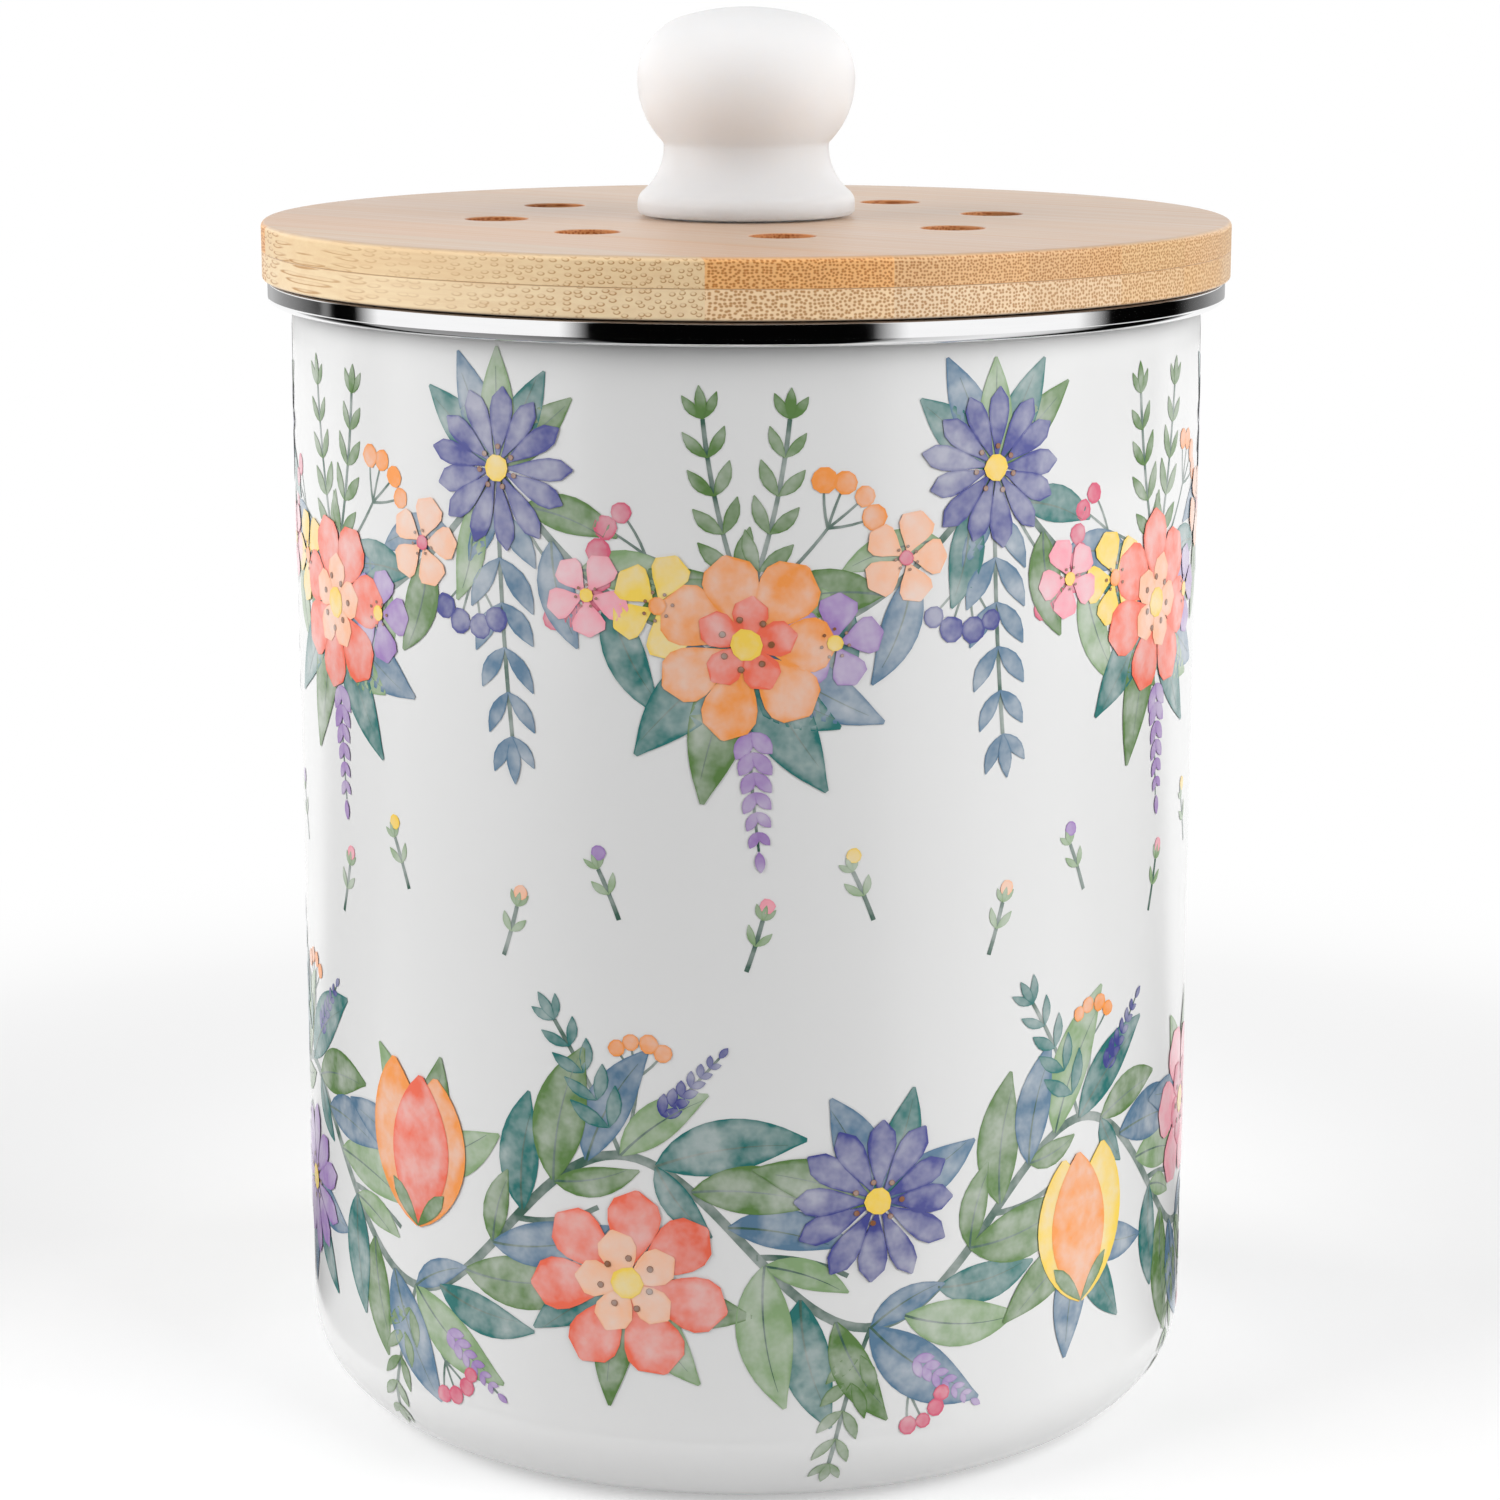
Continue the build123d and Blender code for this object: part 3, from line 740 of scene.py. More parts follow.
class CADDY_OT_studio(bpy.types.Operator):
    """Sets up the floor, the soft lights, the dark cards and the camera"""

    bl_idname = "caddy.studio"
    bl_label = "Set up the studio"

    def floor_finish(self, sizes):
        """Pale floor. It takes the object's shadow near the can, fades to white further off, and
        is clear from below."""
        finish = Finish("pale_floor", {"Roughness": 0.9, "Specular IOR Level": 0.1})
        away = finish.vector("LENGTH", finish.where())["Value"]
        inputs = {"Value": away, "From Min": 0.14, "From Max": 0.3}
        beside = finish.add("MapRange", inputs).outputs[0]
        finish.colour(finish.mix(beside, sizes.floor_near, sizes.floor))
        inputs = {"Value": away, "From Min": 0.10, "From Max": 0.42}
        far = finish.add("MapRange", inputs, interpolation_type="SMOOTHERSTEP").outputs[0]
        matt = finish.surface.outputs[0]
        near = finish.add("AddShader", {0: matt, 1: finish.glow((1, 1, 1), 0.4)}).outputs[0]
        white = finish.glow((1, 1, 1), 1.0)
        floor = finish.blend(finish.looked_at(), matt, finish.blend(far, near, white))
        under = finish.add("NewGeometry", {}).outputs["Backfacing"]
        finish.show(finish.blend(under, floor, finish.clear()))
        return finish.material

    def sky(self, sizes):
        """White where it is looked at, and dim where it lights the can."""
        world = bpy.data.worlds.new("white_studio")
        world.use_nodes = True
        bpy.context.scene.world = world
        nodes = Nodes(world.node_tree)
        shade = nodes.mix(nodes.looked_at(), sizes.sky, (1, 1, 1))
        nodes.feed(world.node_tree.nodes["Background"].inputs["Color"], shade)

    def soft_light(self, name, middle, low, high, power, sizes):
        """An upright light that faces the can, from its lower edge to its upper one, and stays
        out of reflections."""
        distance = sizes.light_distance
        lamp = bpy.data.lights.new(name, "AREA")
        lamp.shape = "RECTANGLE"
        lamp.size = 2 * distance * tan(sizes.light_spread)
        lamp.size_y = high - low
        lamp.energy = power * lamp.size * lamp.size_y
        light = put_in_scene(lamp)
        light.location = (distance * sin(middle), -distance * cos(middle), (low + high) / 2)
        light.rotation_euler = (radians(90), 0, middle)
        light.visible_glossy = False

    def cards(self, sizes):
        """The dark and grey cards that the polished rim mirrors, upright and lying flat."""
        dark = sizes.card[0]
        front = [(-42, dark, 0), (-35.5, dark, 1), (28, dark, 1), (36, dark, 0)]
        left = [(-118, 0.05, 0), (-111, dark, 1), (-101, dark, 1), (-93, dark, 0)]
        right = [(81, dark, 0), (91, dark, 1), (119, dark, 1), (126, 0.05, 0)]
        back = [(-154, 0.5, 1), (-141, 0.32, 1), (-131, 0.22, 1), (-117, 0.05, 1)]
        back += [(-110, dark, 0), (114, dark, 0)]
        back += [(119, dark, 1), (126, 0.09, 1), (134, 0.18, 1), (144, 0.33, 1), (165, 0.5, 1)]
        table = [(-135, 0.5, 0), (-126, 0.3, 1), (-117, 0.05, 1)]
        table += [(-111, dark, 1), (-101, dark, 1), (-96, 0.34, 1), (-60, 0.28, 1)]
        table += [(-44, 0.18, 1), (-35.5, dark, 1), (28, dark, 1), (36, 0.65, 1), (60, 0.9, 1)]
        table += [(80, 0.6, 1), (91, dark, 1), (117, dark, 1), (124, 0.2, 1), (132, 0.5, 0)]

        away = sizes.card_distance
        behind = away + 10 * MM
        table_edge = 0.8
        over_floor = 1 * MM
        ring_card("upright_cards", (away, 2 * over_floor), (away, 1.2), left + front + right)
        ring_card("back_cards", (behind, 60 * MM), (behind, 270 * MM), back)
        ring_card("table_card", (100 * MM, over_floor), (table_edge, over_floor), table)
        ring_card("far_table_card", (table_edge, over_floor), (away, over_floor), front)

    def execute(self, context):
        sizes = context.scene.caddy_studio
        scene = context.scene
        scene.view_settings.view_transform = "Standard"

        form = bmesh.new()
        form.faces.new(ring_of(form, 0, 0, sizes.floor_radius, 0, STUDIO_STEPS))
        floor = put_in_scene(mesh_from("studio_floor", form))
        floor.data.materials.append(self.floor_finish(sizes))
        self.sky(sizes)

        low, high, power = sizes.light_foot, sizes.light_top, sizes.light_power
        self.soft_light("left_softbox", sizes.left_light, low, high, power, sizes)
        self.soft_light("right_softbox", sizes.right_light, low, high, power, sizes)
        low, high, power = sizes.back_foot, sizes.back_top, sizes.back_power
        self.soft_light("back_softbox", radians(180), low, high, power, sizes)
        self.cards(sizes)

        camera = bpy.data.cameras.new("caddy_camera")
        camera.lens = sizes.lens
        camera.sensor_width = 36.0
        camera.shift_x = sizes.shift
        camera.clip_start = 0.01
        eye = put_in_scene(camera)
        eye.location = (0, -sizes.camera_distance, top("lid_upper_ply") + sizes.camera_rise)
        eye.rotation_euler = (radians(90) - sizes.camera_tilt, 0, 0)
        scene.camera = eye
        return {"FINISHED"}


# The can

class CADDY_OT_can(bpy.types.Operator):
    """Makes the enamelled can and the polished band round its lip"""

    bl_idname = "caddy.can"
    bl_label = "Make the can and its rim"

    def execute(self, context):
        sizes = context.scene.caddy_can
        ring_inner = sizes.body_radius - sizes.corner_radius - sizes.ring_width
        lip_underside = top("canister_body") - sizes.wall
        corners = [
            (0, sizes.base_lift),
            (ring_inner - sizes.base_slope, sizes.base_lift),
            (ring_inner, 0),
            (sizes.body_radius, 0),
            (sizes.body_radius, lip_underside),
            (reach("canister_body"), lip_underside),
        ]
        radii = [sizes.press_radius, sizes.press_radius, sizes.corner_radius, sizes.flare_radius]
        line = rounded(corners, radii, steps=14)
        shell = turned("enamelled_can", thickened(line, sizes.wall))
        install(shell, enamel_finish(sizes), "can", "canister_body")

        corners = [
            (sizes.body_radius + sizes.band_gap, foot("rim_band")),
            (reach("rim_band"), foot("rim_band")),
            (reach("rim_band"), top("rim_band")),
            (sizes.body_radius - sizes.wall + sizes.band_fit, top("rim_band")),
        ]
        line = rounded(corners, [sizes.band_lower_round, sizes.band_upper_round], steps=10)
        band = turned("polished_band", thickened(line, sizes.band_wall), closed=True)
        install(band, rim_finish(sizes), "can", "rim_band")
        return {"FINISHED"}


# The lid

# Each strip is (far edge across the grain in mm, colour, share of filled pores)
UPPER_STRIPS = (
    (-69.6, (241, 214, 170), 0.0),
    (-48.2, (248, 188, 119), 1.0),
    (-27, (234, 190, 138), 1.0),
    (-7.1, (224, 182, 133), 1.0),
    (12.3, (226, 191, 144), 0.9),
    (31.7, (230, 193, 147), 1.0),
    (51, (231, 195, 148), 0.8),
    (70.4, (229, 192, 142), 0.9),
    (85, (233, 200, 154), 0.3),
)
LOWER_STRIPS = (
    (-69.6, (247, 224, 184), 0.0),
    (-48.2, (254, 224, 183), 1.0),
    (-27, (245, 220, 186), 1.0),
    (-7.1, (234, 207, 172), 0.9),
    (12.3, (231, 199, 157), 0.9),
    (31.7, (231, 194, 145), 0.8),
    (51, (236, 206, 166), 0.9),
    (70.4, (228, 194, 150), 0.8),
    (85, (232, 202, 162), 0.3),
)
SPIGOT_STRIPS = (
    (-50, (236, 206, 162), 0.4),
    (-20, (240, 210, 170), 0.6),
    (10, (230, 192, 146), 0.9),
    (40, (240, 208, 168), 0.5),
    (85, (234, 200, 158), 0.7),
)


def edge_section(radius, upper, lower, upper_round, lower_round, inward=False, steps=6):
    """The section of a plate's rim or bore, from its upper face to its lower one."""
    side = 1 if inward else -1
    above = []
    below = []
    for step in range(steps + 1):
        rise = 1 - sin(pi / 2 * step / steps)
        run = 1 - cos(pi / 2 * step / steps)
        above.append((radius + side * upper_round * rise, upper - upper_round * run))
        below.append((radius + side * lower_round * run, lower + lower_round * rise))
    return above + below


class CADDY_OT_lid(bpy.types.Operator):
    """Makes the two bamboo plies of the lid"""

    bl_idname = "caddy.lid"
    bl_label = "Make the bamboo plies"

    def ply(self, name, sizes, high, low, rim_rounds, vent_rounds, screw_bore):
        """A plate between two heights, with its vents and the bore for the knob's screw."""
        rim = edge_section(reach("lid_upper_ply"), high, low, *rim_rounds)
        vent = edge_section(sizes.vent_radius, high, low, *vent_rounds, inward=True)
        bores = []
        for place in range(sizes.vents):
            swing = sizes.vent_turn + place * 2 * pi / sizes.vents
            x, y = sizes.vent_ring * cos(swing), sizes.vent_ring * sin(swing)
            bores.append((x, y, vent, VENT_STEPS))
        return drilled(name, rim, bores + [screw_bore])

    def execute(self, context):
        sizes = context.scene.caddy_lid
        joint = foot("lid_upper_ply")
        ease = sizes.joint_round

        high = top("lid_upper_ply")
        screw_hole = edge_section(sizes.screw_hole, high, joint, ease, ease, inward=True)
        rounds = (sizes.top_round, ease), (sizes.vent_ease, ease)
        bore = (0, 0, screw_hole, SCREW_HOLE_STEPS)
        ply = self.ply("bamboo_upper_ply", sizes, high, joint, *rounds, bore)
        finish = bamboo_finish("bamboo_upper", sizes, UPPER_STRIPS, sizes.upper_pitch)
        install(ply, finish, "lid", "lid_upper_ply")

        low = foot("lid_lower_ply")
        ceiling = low + sizes.counterbore_depth
        counterbore = [
            (sizes.screw_hole, joint),
            (sizes.screw_hole, ceiling),
            (sizes.counterbore, ceiling),
            (sizes.counterbore, low),
        ]
        rounds = (ease, sizes.bottom_round), (ease, sizes.vent_ease)
        bore = (0, 0, counterbore, COUNTERBORE_STEPS)
        ply = self.ply("bamboo_lower_ply", sizes, joint, low, *rounds, bore)
        finish = bamboo_finish("bamboo_lower", sizes, LOWER_STRIPS, sizes.lower_pitch)
        install(ply, finish, "lid", "lid_lower_ply")
        return {"FINISHED"}


class CADDY_OT_spigot(bpy.types.Operator):
    """Makes the ring that centres the lid in the can, and the seal in its groove"""

    bl_idname = "caddy.spigot"
    bl_label = "Make the spigot and its seal"

    def execute(self, context):
        sizes = context.scene.caddy_lid
        outer = reach("spigot_ring")
        inner = outer - sizes.spigot_width
        low = foot("spigot_ring")
        high = top("spigot_ring")
        groove_low = low + sizes.groove_rise
        groove_high = groove_low + sizes.groove_width
        back = outer - sizes.groove_depth
        mouth_ease = 0.2 * MM
        thin = 0.1 * MM
        corners = [
            (inner, high),
            (inner, low),
            (outer, low),
            (outer, groove_low),
            (back, groove_low),
            (back, groove_high),
            (outer, groove_high),
            (outer, high),
        ]
        radii = [sizes.spigot_ease, sizes.spigot_ease, mouth_ease, thin, thin, mouth_ease]
        ring = turned("bamboo_spigot", rounded(corners, radii, steps=4), closed=True)
        pitch = sizes.lower_pitch
        finish = bamboo_finish("bamboo_spigot", sizes, SPIGOT_STRIPS, pitch, bored=False)
        install(ring, finish, "lid", "spigot_ring")

        seal_low = foot("lid_seal")
        seal_high = top("lid_seal")
        tip = reach("lid_seal")
        face = outer - thin
        corners = [(back + thin, seal_low), (face, seal_low)]
        radii = [thin]
        for rib in range(2):
            middle = seal_low + (rib + 0.5) * (seal_high - seal_low) / 2
            corners += [
                (face, middle - 0.65 * MM),
                (tip, middle + 0.25 * MM),
                (tip, middle + 0.75 * MM),
                (face, middle + 0.65 * MM),
            ]
            radii += [0.15 * MM, 0.22 * MM, 0.22 * MM, 0.15 * MM]
        corners += [(face, seal_high), (back + thin, seal_high)]
        radii += [thin]
        seal = turned("ribbed_seal", rounded(corners, radii, steps=4), closed=True)
        install(seal, seal_finish(sizes), "lid", "lid_seal")
        return {"FINISHED"}


class CADDY_OT_knob(bpy.types.Operator):
    """Makes the glazed knob"""

    bl_idname = "caddy.knob"
    bl_label = "Make the knob"

    def execute(self, context):
        sizes = context.scene.caddy_knob
        lid_top = foot("knob")
        rise = top("knob") - lid_top - sizes.widest_height
        across = sizes.radius - sizes.shoulder_radius
        waist_radius = sizes.radius - sizes.waist_inset
        crown_sum = across**2 + rise**2 - sizes.shoulder_radius**2
        crown_radius = crown_sum / (2 * (rise - sizes.shoulder_radius))
        crown_turn = degrees(asin(across / (crown_radius - sizes.shoulder_radius)))

        flat = sizes.radius + sizes.foot_overhang - sizes.foot_lower_round - sizes.bore_radius
        pen = Pen(sizes.bore_radius, lid_top, 0)
        pen.straight(flat - sizes.foot_step)
        pen.corner(90)
        pen.straight(sizes.foot_gap)
        pen.corner(-90)
        pen.straight(sizes.foot_step)
        pen.arc(sizes.foot_lower_round, 90)
        pen.straight(sizes.foot_edge)
        foot_turn = degrees(sizes.foot_turn)
        pen.arc(sizes.foot_upper_round, foot_turn)
        pen.arc((pen.place.x - waist_radius) / (1 - sin(pen.heading)), -foot_turn, steps=20)
        waist_rise = lid_top + sizes.widest_height - pen.place.y
        waist_reach = sizes.under_radius - sizes.waist_inset
        waist_sum = waist_rise**2 + waist_reach**2 - sizes.under_radius**2
        waist_blend = waist_sum / (2 * sizes.waist_inset)
        waist_turn = degrees(asin(waist_rise / (sizes.under_radius + waist_blend)))
        pen.arc(waist_blend, -waist_turn, steps=20)
        pen.arc(sizes.under_radius, waist_turn, steps=24)
        pen.arc(sizes.shoulder_radius, 90 - crown_turn, steps=28)
        pen.arc(crown_radius, crown_turn)
        pen.points[-1].x = 0.0
        bore_top = lid_top + sizes.bore_depth
        line = [Vector((0, bore_top)), Vector((sizes.bore_radius, bore_top))] + pen.points
        knob = turned("glazed_knob", line, steps=KNOB_STEPS)
        install(knob, glaze_finish(sizes), "lid", "knob")
        return {"FINISHED"}


class CADDY_OT_filter(bpy.types.Operator):
    """Makes the charcoal pad, and gives the tray and the fixings their metal"""

    bl_idname = "caddy.filter"
    bl_label = "Make the filter and fixings"

    def pad(self, sizes):
        """A felt disc with soft edges and an uneven face."""
        radius = reach("charcoal_filter")
        low = foot("charcoal_filter")
        high = top("charcoal_filter")
        rings = 24
        inset = [radius * ring / rings for ring in range(1, rings)]
        corners = [(inset[-1], low), (radius, low), (radius, high), (inset[-1], high)]
        line = [(0, low)] + [(place, low) for place in inset[:-1]]
        line += rounded(corners, [sizes.edge_round, sizes.edge_round], steps=6)
        line += [(place, high) for place in inset[-2::-1]] + [(0, high)]
        pad = turned("charcoal_pad", line, steps=PAD_STEPS)
        for vertex in pad.vertices:
            where = Vector(vertex.co)
            swell = noise.noise(where * 90.0) + 0.5 * noise.noise(where * 260.0)
            sink = sizes.fuzz * (0.5 + 0.5 * swell)
            vertex.co.z -= sink if where.z > (low + high) / 2 else -sink
            vertex.co.x *= 1 - sink / radius
            vertex.co.y *= 1 - sink / radius
        return pad

    def execute(self, context):
        sizes = context.scene.caddy_filter
        felt = felt_finish(sizes)
        pad = install(self.pad(sizes), felt, "tray", "charcoal_filter")

        steel, brass = sizes.steel, sizes.brass
        metals = {
            "filter_tray": metal_finish("pressed_tray_steel", steel, 0.26, 0.42),
            "tray_screws": metal_finish("plated_tray_screws", steel, 0.18, 0.32),
            "knob_washer": metal_finish("plated_washer", steel, 0.22, 0.36),
            "knob_screw": metal_finish("plated_knob_screw", steel, 0.18, 0.32),
            "knob_insert": metal_finish("turned_brass", brass, 0.2, 0.34, (1, 1, 9)),
        }
        for node, metal in metals.items():
            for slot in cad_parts[node].material_slots:
                slot.material = metal
        return {"FINISHED"}


# The painted print

INKS = (
    "coral", "orange", "peach", "pink", "rose", "yellow", "teal",
    "sage", "slate", "leaf", "indigo", "violet", "stem", "umber",
)
SWAG_GREENS = ("teal", "sage", "slate", "leaf")
SCROLL_GREENS = ("teal", "leaf", "slate", "sage")
# Each flower is (outer paint, inner paint, petals, size in mm), and one of 0 petals is a cup
SCROLL_FLOWERS = (
    ("coral", "peach", 7, 33),
    ("indigo", None, 12, 28),
    ("yellow", "orange", 0, 27),
    ("pink", "rose", 6, 31),
    ("violet", None, 11, 28),
    ("orange", "coral", 0, 28),
)


def moved(place, heading, distance):
    """The place that lies one distance away along the heading."""
    return place[0] + cos(heading) * distance, place[1] + sin(heading) * distance


class Brush:
    """Paints shapes on the can's wall as thin patches. Places are (distance round the wall from
    the front, height); headings turn from level, anticlockwise."""

    first_layer = 1.5
    petal_step = 1.9 * MM
    curve_step = 2 * MM
    wide_petal = 3.5 * MM
    ribbed_leaf = 9 * MM
    large_dot = 1.6 * MM
    dot_sides = 10

    def __init__(self, radius, corner, step, seed):
        self.radius = radius
        self.corner = corner
        self.step = step
        self.chance = Random(seed)
        self.points = []
        self.faces = []
        self.marks = []
        self.inks = []
        self.outward = []

    def put(self, around, height, layer, mark):
        """A point over the wall or, lower than the corner, as far round the corner."""
        rise = self.step * (layer + self.first_layer)
        swing = around / self.radius
        tuck = max(1 - height / self.corner, 0.0)
        radius = self.radius - self.corner + (self.corner + rise) * cos(tuck)
        if tuck > 0:
            height = self.corner - (self.corner + rise) * sin(tuck)
        self.points.append((radius * sin(swing), -radius * cos(swing), height))
        self.outward.append((sin(swing) * cos(tuck), -cos(swing) * cos(tuck), -sin(tuck)))
        self.marks.append(mark)
        return len(self.points) - 1

    def face(self, corners, ink):
        self.faces.append(corners)
        self.inks.append(INKS.index(ink))

    def sheet(self, rows, ink, layer):
        """A patch from rows of places, each with its mark along and across the stroke."""
        grid = [[self.put(*place, layer, mark) for place, mark in row] for row in rows]
        for lower, upper in zip(grid, grid[1:]):
            for left in range(len(lower) - 1):
                self.face((lower[left + 1], lower[left], upper[left], upper[left + 1]), ink)

    def petal(self, place, heading, size, width, ink, layer, belly=0.6, blunt=0.6, bend=0.0):
        """A petal or leaf from its foot, widest at the belly, and curved by the bend."""
        steps = max(int(size / self.petal_step), 5)
        columns = 4 if width > self.wide_petal else 2
        size *= self.chance.uniform(0.93, 1.07)
        width *= self.chance.uniform(0.92, 1.08)
        lean = self.chance.uniform(-0.05, 0.05)
        power = log(0.5) / log(belly)
        rows = []
        for step in range(steps + 1):
            share = step / steps
            now = heading + bend * share + lean
            half = width / 2 * max(sin(pi * share**power) ** blunt, 0.07)
            row = []
            for column in range(columns + 1):
                spot = moved(place, now + pi / 2, half * (2 * column / columns - 1))
                row.append((spot, (share, column / columns)))
            rows.append(row)
            place = moved(place, now, size / steps)
        self.sheet(rows, ink, layer)

    def leaf(self, place, heading, size, ink, layer, bend=0.0, slim=0.36):
        """A pointed leaf with a fine midrib."""
        self.petal(place, heading, size, size * slim, ink, layer, 0.45, 0.85, bend)
        if size > self.ribbed_leaf:
            rib = size * 0.86
            self.curve(place, heading, rib, bend * 0.86, 0.45 * MM, 0.85, layer + 1)

    def stroke(self, places, width, taper, layer=0):
        """A stem or rib through the places, thinner towards its end."""
        rows = []
        for number, place in enumerate(places):
            before = places[max(number - 1, 0)]
            after = places[min(number + 1, len(places) - 1)]
            across = atan2(after[1] - before[1], after[0] - before[0]) + pi / 2
            share = number / (len(places) - 1)
            half = width / 2 * (1 - taper * share)
            right, left = moved(place, across, -half), moved(place, across, half)
            rows.append([(right, (share, 0.2)), (left, (share, 0.8))])
        self.sheet(rows, "stem", layer)

    def curve(self, place, heading, size, bend, width, taper, layer=0):
        """A curved stem or rib. Returns its end and the heading there."""
        steps = max(int(size / self.curve_step), 4)
        places = [place]
        for step in range(steps):
            now = heading + bend * (step + 0.5) / steps
            places.append(moved(places[-1], now, size / steps))
        self.stroke(places, width, taper, layer)
        return places[-1], heading + bend

    def dot(self, place, radius, ink, layer):
        """A round blot."""
        sides = self.dot_sides
        rings = 2 if radius > self.large_dot else 1
        last = [self.put(*place, layer, (0.3, 0.5))]
        for ring in range(1, rings + 1):
            loop = []
            for side in range(sides):
                wobble = radius * ring / rings * self.chance.uniform(0.94, 1.06)
                where = moved(place, 2 * pi * side / sides, wobble)
                loop.append(self.put(*where, layer, (0.3, 0.5 + 0.5 * ring / rings)))
            for side in range(sides):
                after = (side + 1) % sides
                corners = [last[side % len(last)], loop[side], loop[after], last[after % len(last)]]
                self.face(tuple(dict.fromkeys(corners)), ink)
            last = loop

    def blossom(self, place, size, ink, heart, petals, layer=4, fullness=1.0, inner=None):
        """An open flower seen from the front, with an inner ring of petals where one is named."""
        turn = self.chance.uniform(0, 2 * pi)
        width = fullness * pi * size / 2 / petals * 1.25
        for number in range(petals):
            heading = turn + 2 * pi * number / petals
            lift = layer + number % 2 + (number == petals - 1)
            start = moved(place, heading, size * 0.06)
            self.petal(start, heading, size * 0.44, width, ink, lift, 0.68, 0.55)
        if inner:
            for number in range(5):
                heading = turn + 0.5 + 2 * pi * number / 5
                lift = layer + 3 + number % 2
                self.petal(place, heading, size * 0.27, size * 0.2, inner, lift, 0.65, 0.6)
        self.dot(place, size * 0.085, heart, layer + 6)
        for number in range(7):
            heading = turn + 2 * pi * number / 7
            spot = moved(place, heading, size * self.chance.uniform(0.12, 0.15))
            self.dot(spot, size * 0.018, "umber", layer + 7)

    def cup(self, place, heading, size, ink, edge, layer=4):
        """A cupped flower seen from its side."""
        for side, shade, lift in ((-0.42, ink, 0), (0.42, ink, 1), (0.0, edge, 2)):
            now = heading + side
            self.petal(place, now, size, size * 0.5, shade, layer + lift, 0.5, 0.7, -side)
        for side in (-0.75, 0.75):
            self.petal(place, heading + side, size * 0.35, size * 0.1, "leaf", layer + 3)

    def spray(self, place, heading, size, ink, leaves=5, bend=0.0, leaf_size=0.3, layer=1):
        """A stem with leaves in pairs and one at its tip."""
        step, turn = size / leaves, bend / leaves
        full = size * leaf_size
        for number in range(leaves):
            place, heading = self.curve(place, heading, step, turn, 0.8 * MM, 0.1)
            size_now = full * (1 - 0.45 * number / leaves)
            for side in (-1, 1):
                now, lift = heading + side * 0.75, layer + (side > 0)
                width = size_now * 0.36
                self.petal(place, now, size_now, width, ink, lift, 0.5, 0.9, -side * 0.35)
        self.petal(place, heading, full * 0.7, full * 0.26, ink, layer + 2, 0.5, 0.9)

    def spike(self, place, heading, size, ink, layer=1):
        """A straight stem with rows of small buds up its outer half."""
        end, now = self.curve(place, heading, size, 0.12, 0.7 * MM, 0.4)
        rows = 6
        for number in range(rows):
            share = 0.42 + 0.58 * number / rows
            spot = [start + (stop - start) * share for start, stop in zip(place, end)]
            bud = size * 0.13 * (1.15 - 0.6 * number / rows)
            for side in (-1, 1):
                lift = layer + (side > 0)
                self.petal(spot, now + side * 0.6, bud, bud * 0.55, ink, lift, 0.5, 0.7)
        self.petal(end, now, size * 0.1, size * 0.05, ink, layer + 2, 0.5, 0.7)

    def berries(self, place, heading, size, ink, layer=1):
        """A branching sprig with a round berry at each tip."""
        end, now = self.curve(place, heading, size * 0.7, 0.3, 0.7 * MM, 0.3)
        for number, side in enumerate((-0.9, -0.3, 0.35, 0.9)):
            tip, _ = self.curve(end, now + side, size * 0.3, -side * 0.4, 0.5 * MM, 0.3)
            self.dot(tip, size * self.chance.uniform(0.065, 0.085), ink, layer + number % 2 + 1)

    def vine(self, along, steps, width):
        """The long stem of a garland or scroll, at the places that along gives."""
        self.stroke([along(step / steps)[0] for step in range(steps + 1)], width, 0.0)

    def mesh(self, name, finishes):
        mesh = bpy.data.meshes.new(name)
        mesh.from_pydata(self.points, [], self.faces)
        mark_points(mesh, "strokes", self.marks)
        for finish in finishes:
            mesh.materials.append(finish)
        for face, ink in zip(mesh.polygons, self.inks):
            face.material_index = ink
            face.use_smooth = True
        mesh.normals_split_custom_set_from_vertices(self.outward)
        return mesh


def paint_finish(name, ink, ground):
    """Thin glazed paint: uneven and watery, and darker where it dried along the edge."""
    finish = Finish(name, {"Coat Weight": 0.25, "Coat Roughness": 0.06})
    lengthways, sideways, _ = finish.parts(finish.where("UV"))
    off_middle = finish.math("ABSOLUTE", finish.math("MULTIPLY_ADD", sideways, 2.0, -1.0))
    edge = finish.ramp(off_middle, [(0.0, 0.0), (0.7, 0.05), (0.93, 0.6), (1.0, 1.0)])
    tip = finish.ramp(lengthways, [(0.0, 0.75), (0.3, 0.25), (0.75, 0.0), (1.0, 0.5)])
    water = finish.clouds(170.0, 3.0, roughness=0.55)
    grain = finish.clouds(1500.0, 2.0)
    wash = finish.ramp(water, [(0.3, 0.42), (0.7, 0.94)])
    strength = finish.math("ADD", wash, finish.times(edge, 0.28))
    strength = finish.math("ADD", strength, finish.times(tip, 0.22))
    strength = finish.math("ADD", strength, finish.times(grain, 0.08), clamp=True)
    warm = tuple(min(value * 1.25 + 0.02, 1.0) for value in ink)
    paint = finish.mix(finish.clouds(60.0, 1.0), ink, warm)
    finish.colour(finish.mix(strength, ground, paint))
    finish.rough(water, 0.17, 0.24)
    return finish.material


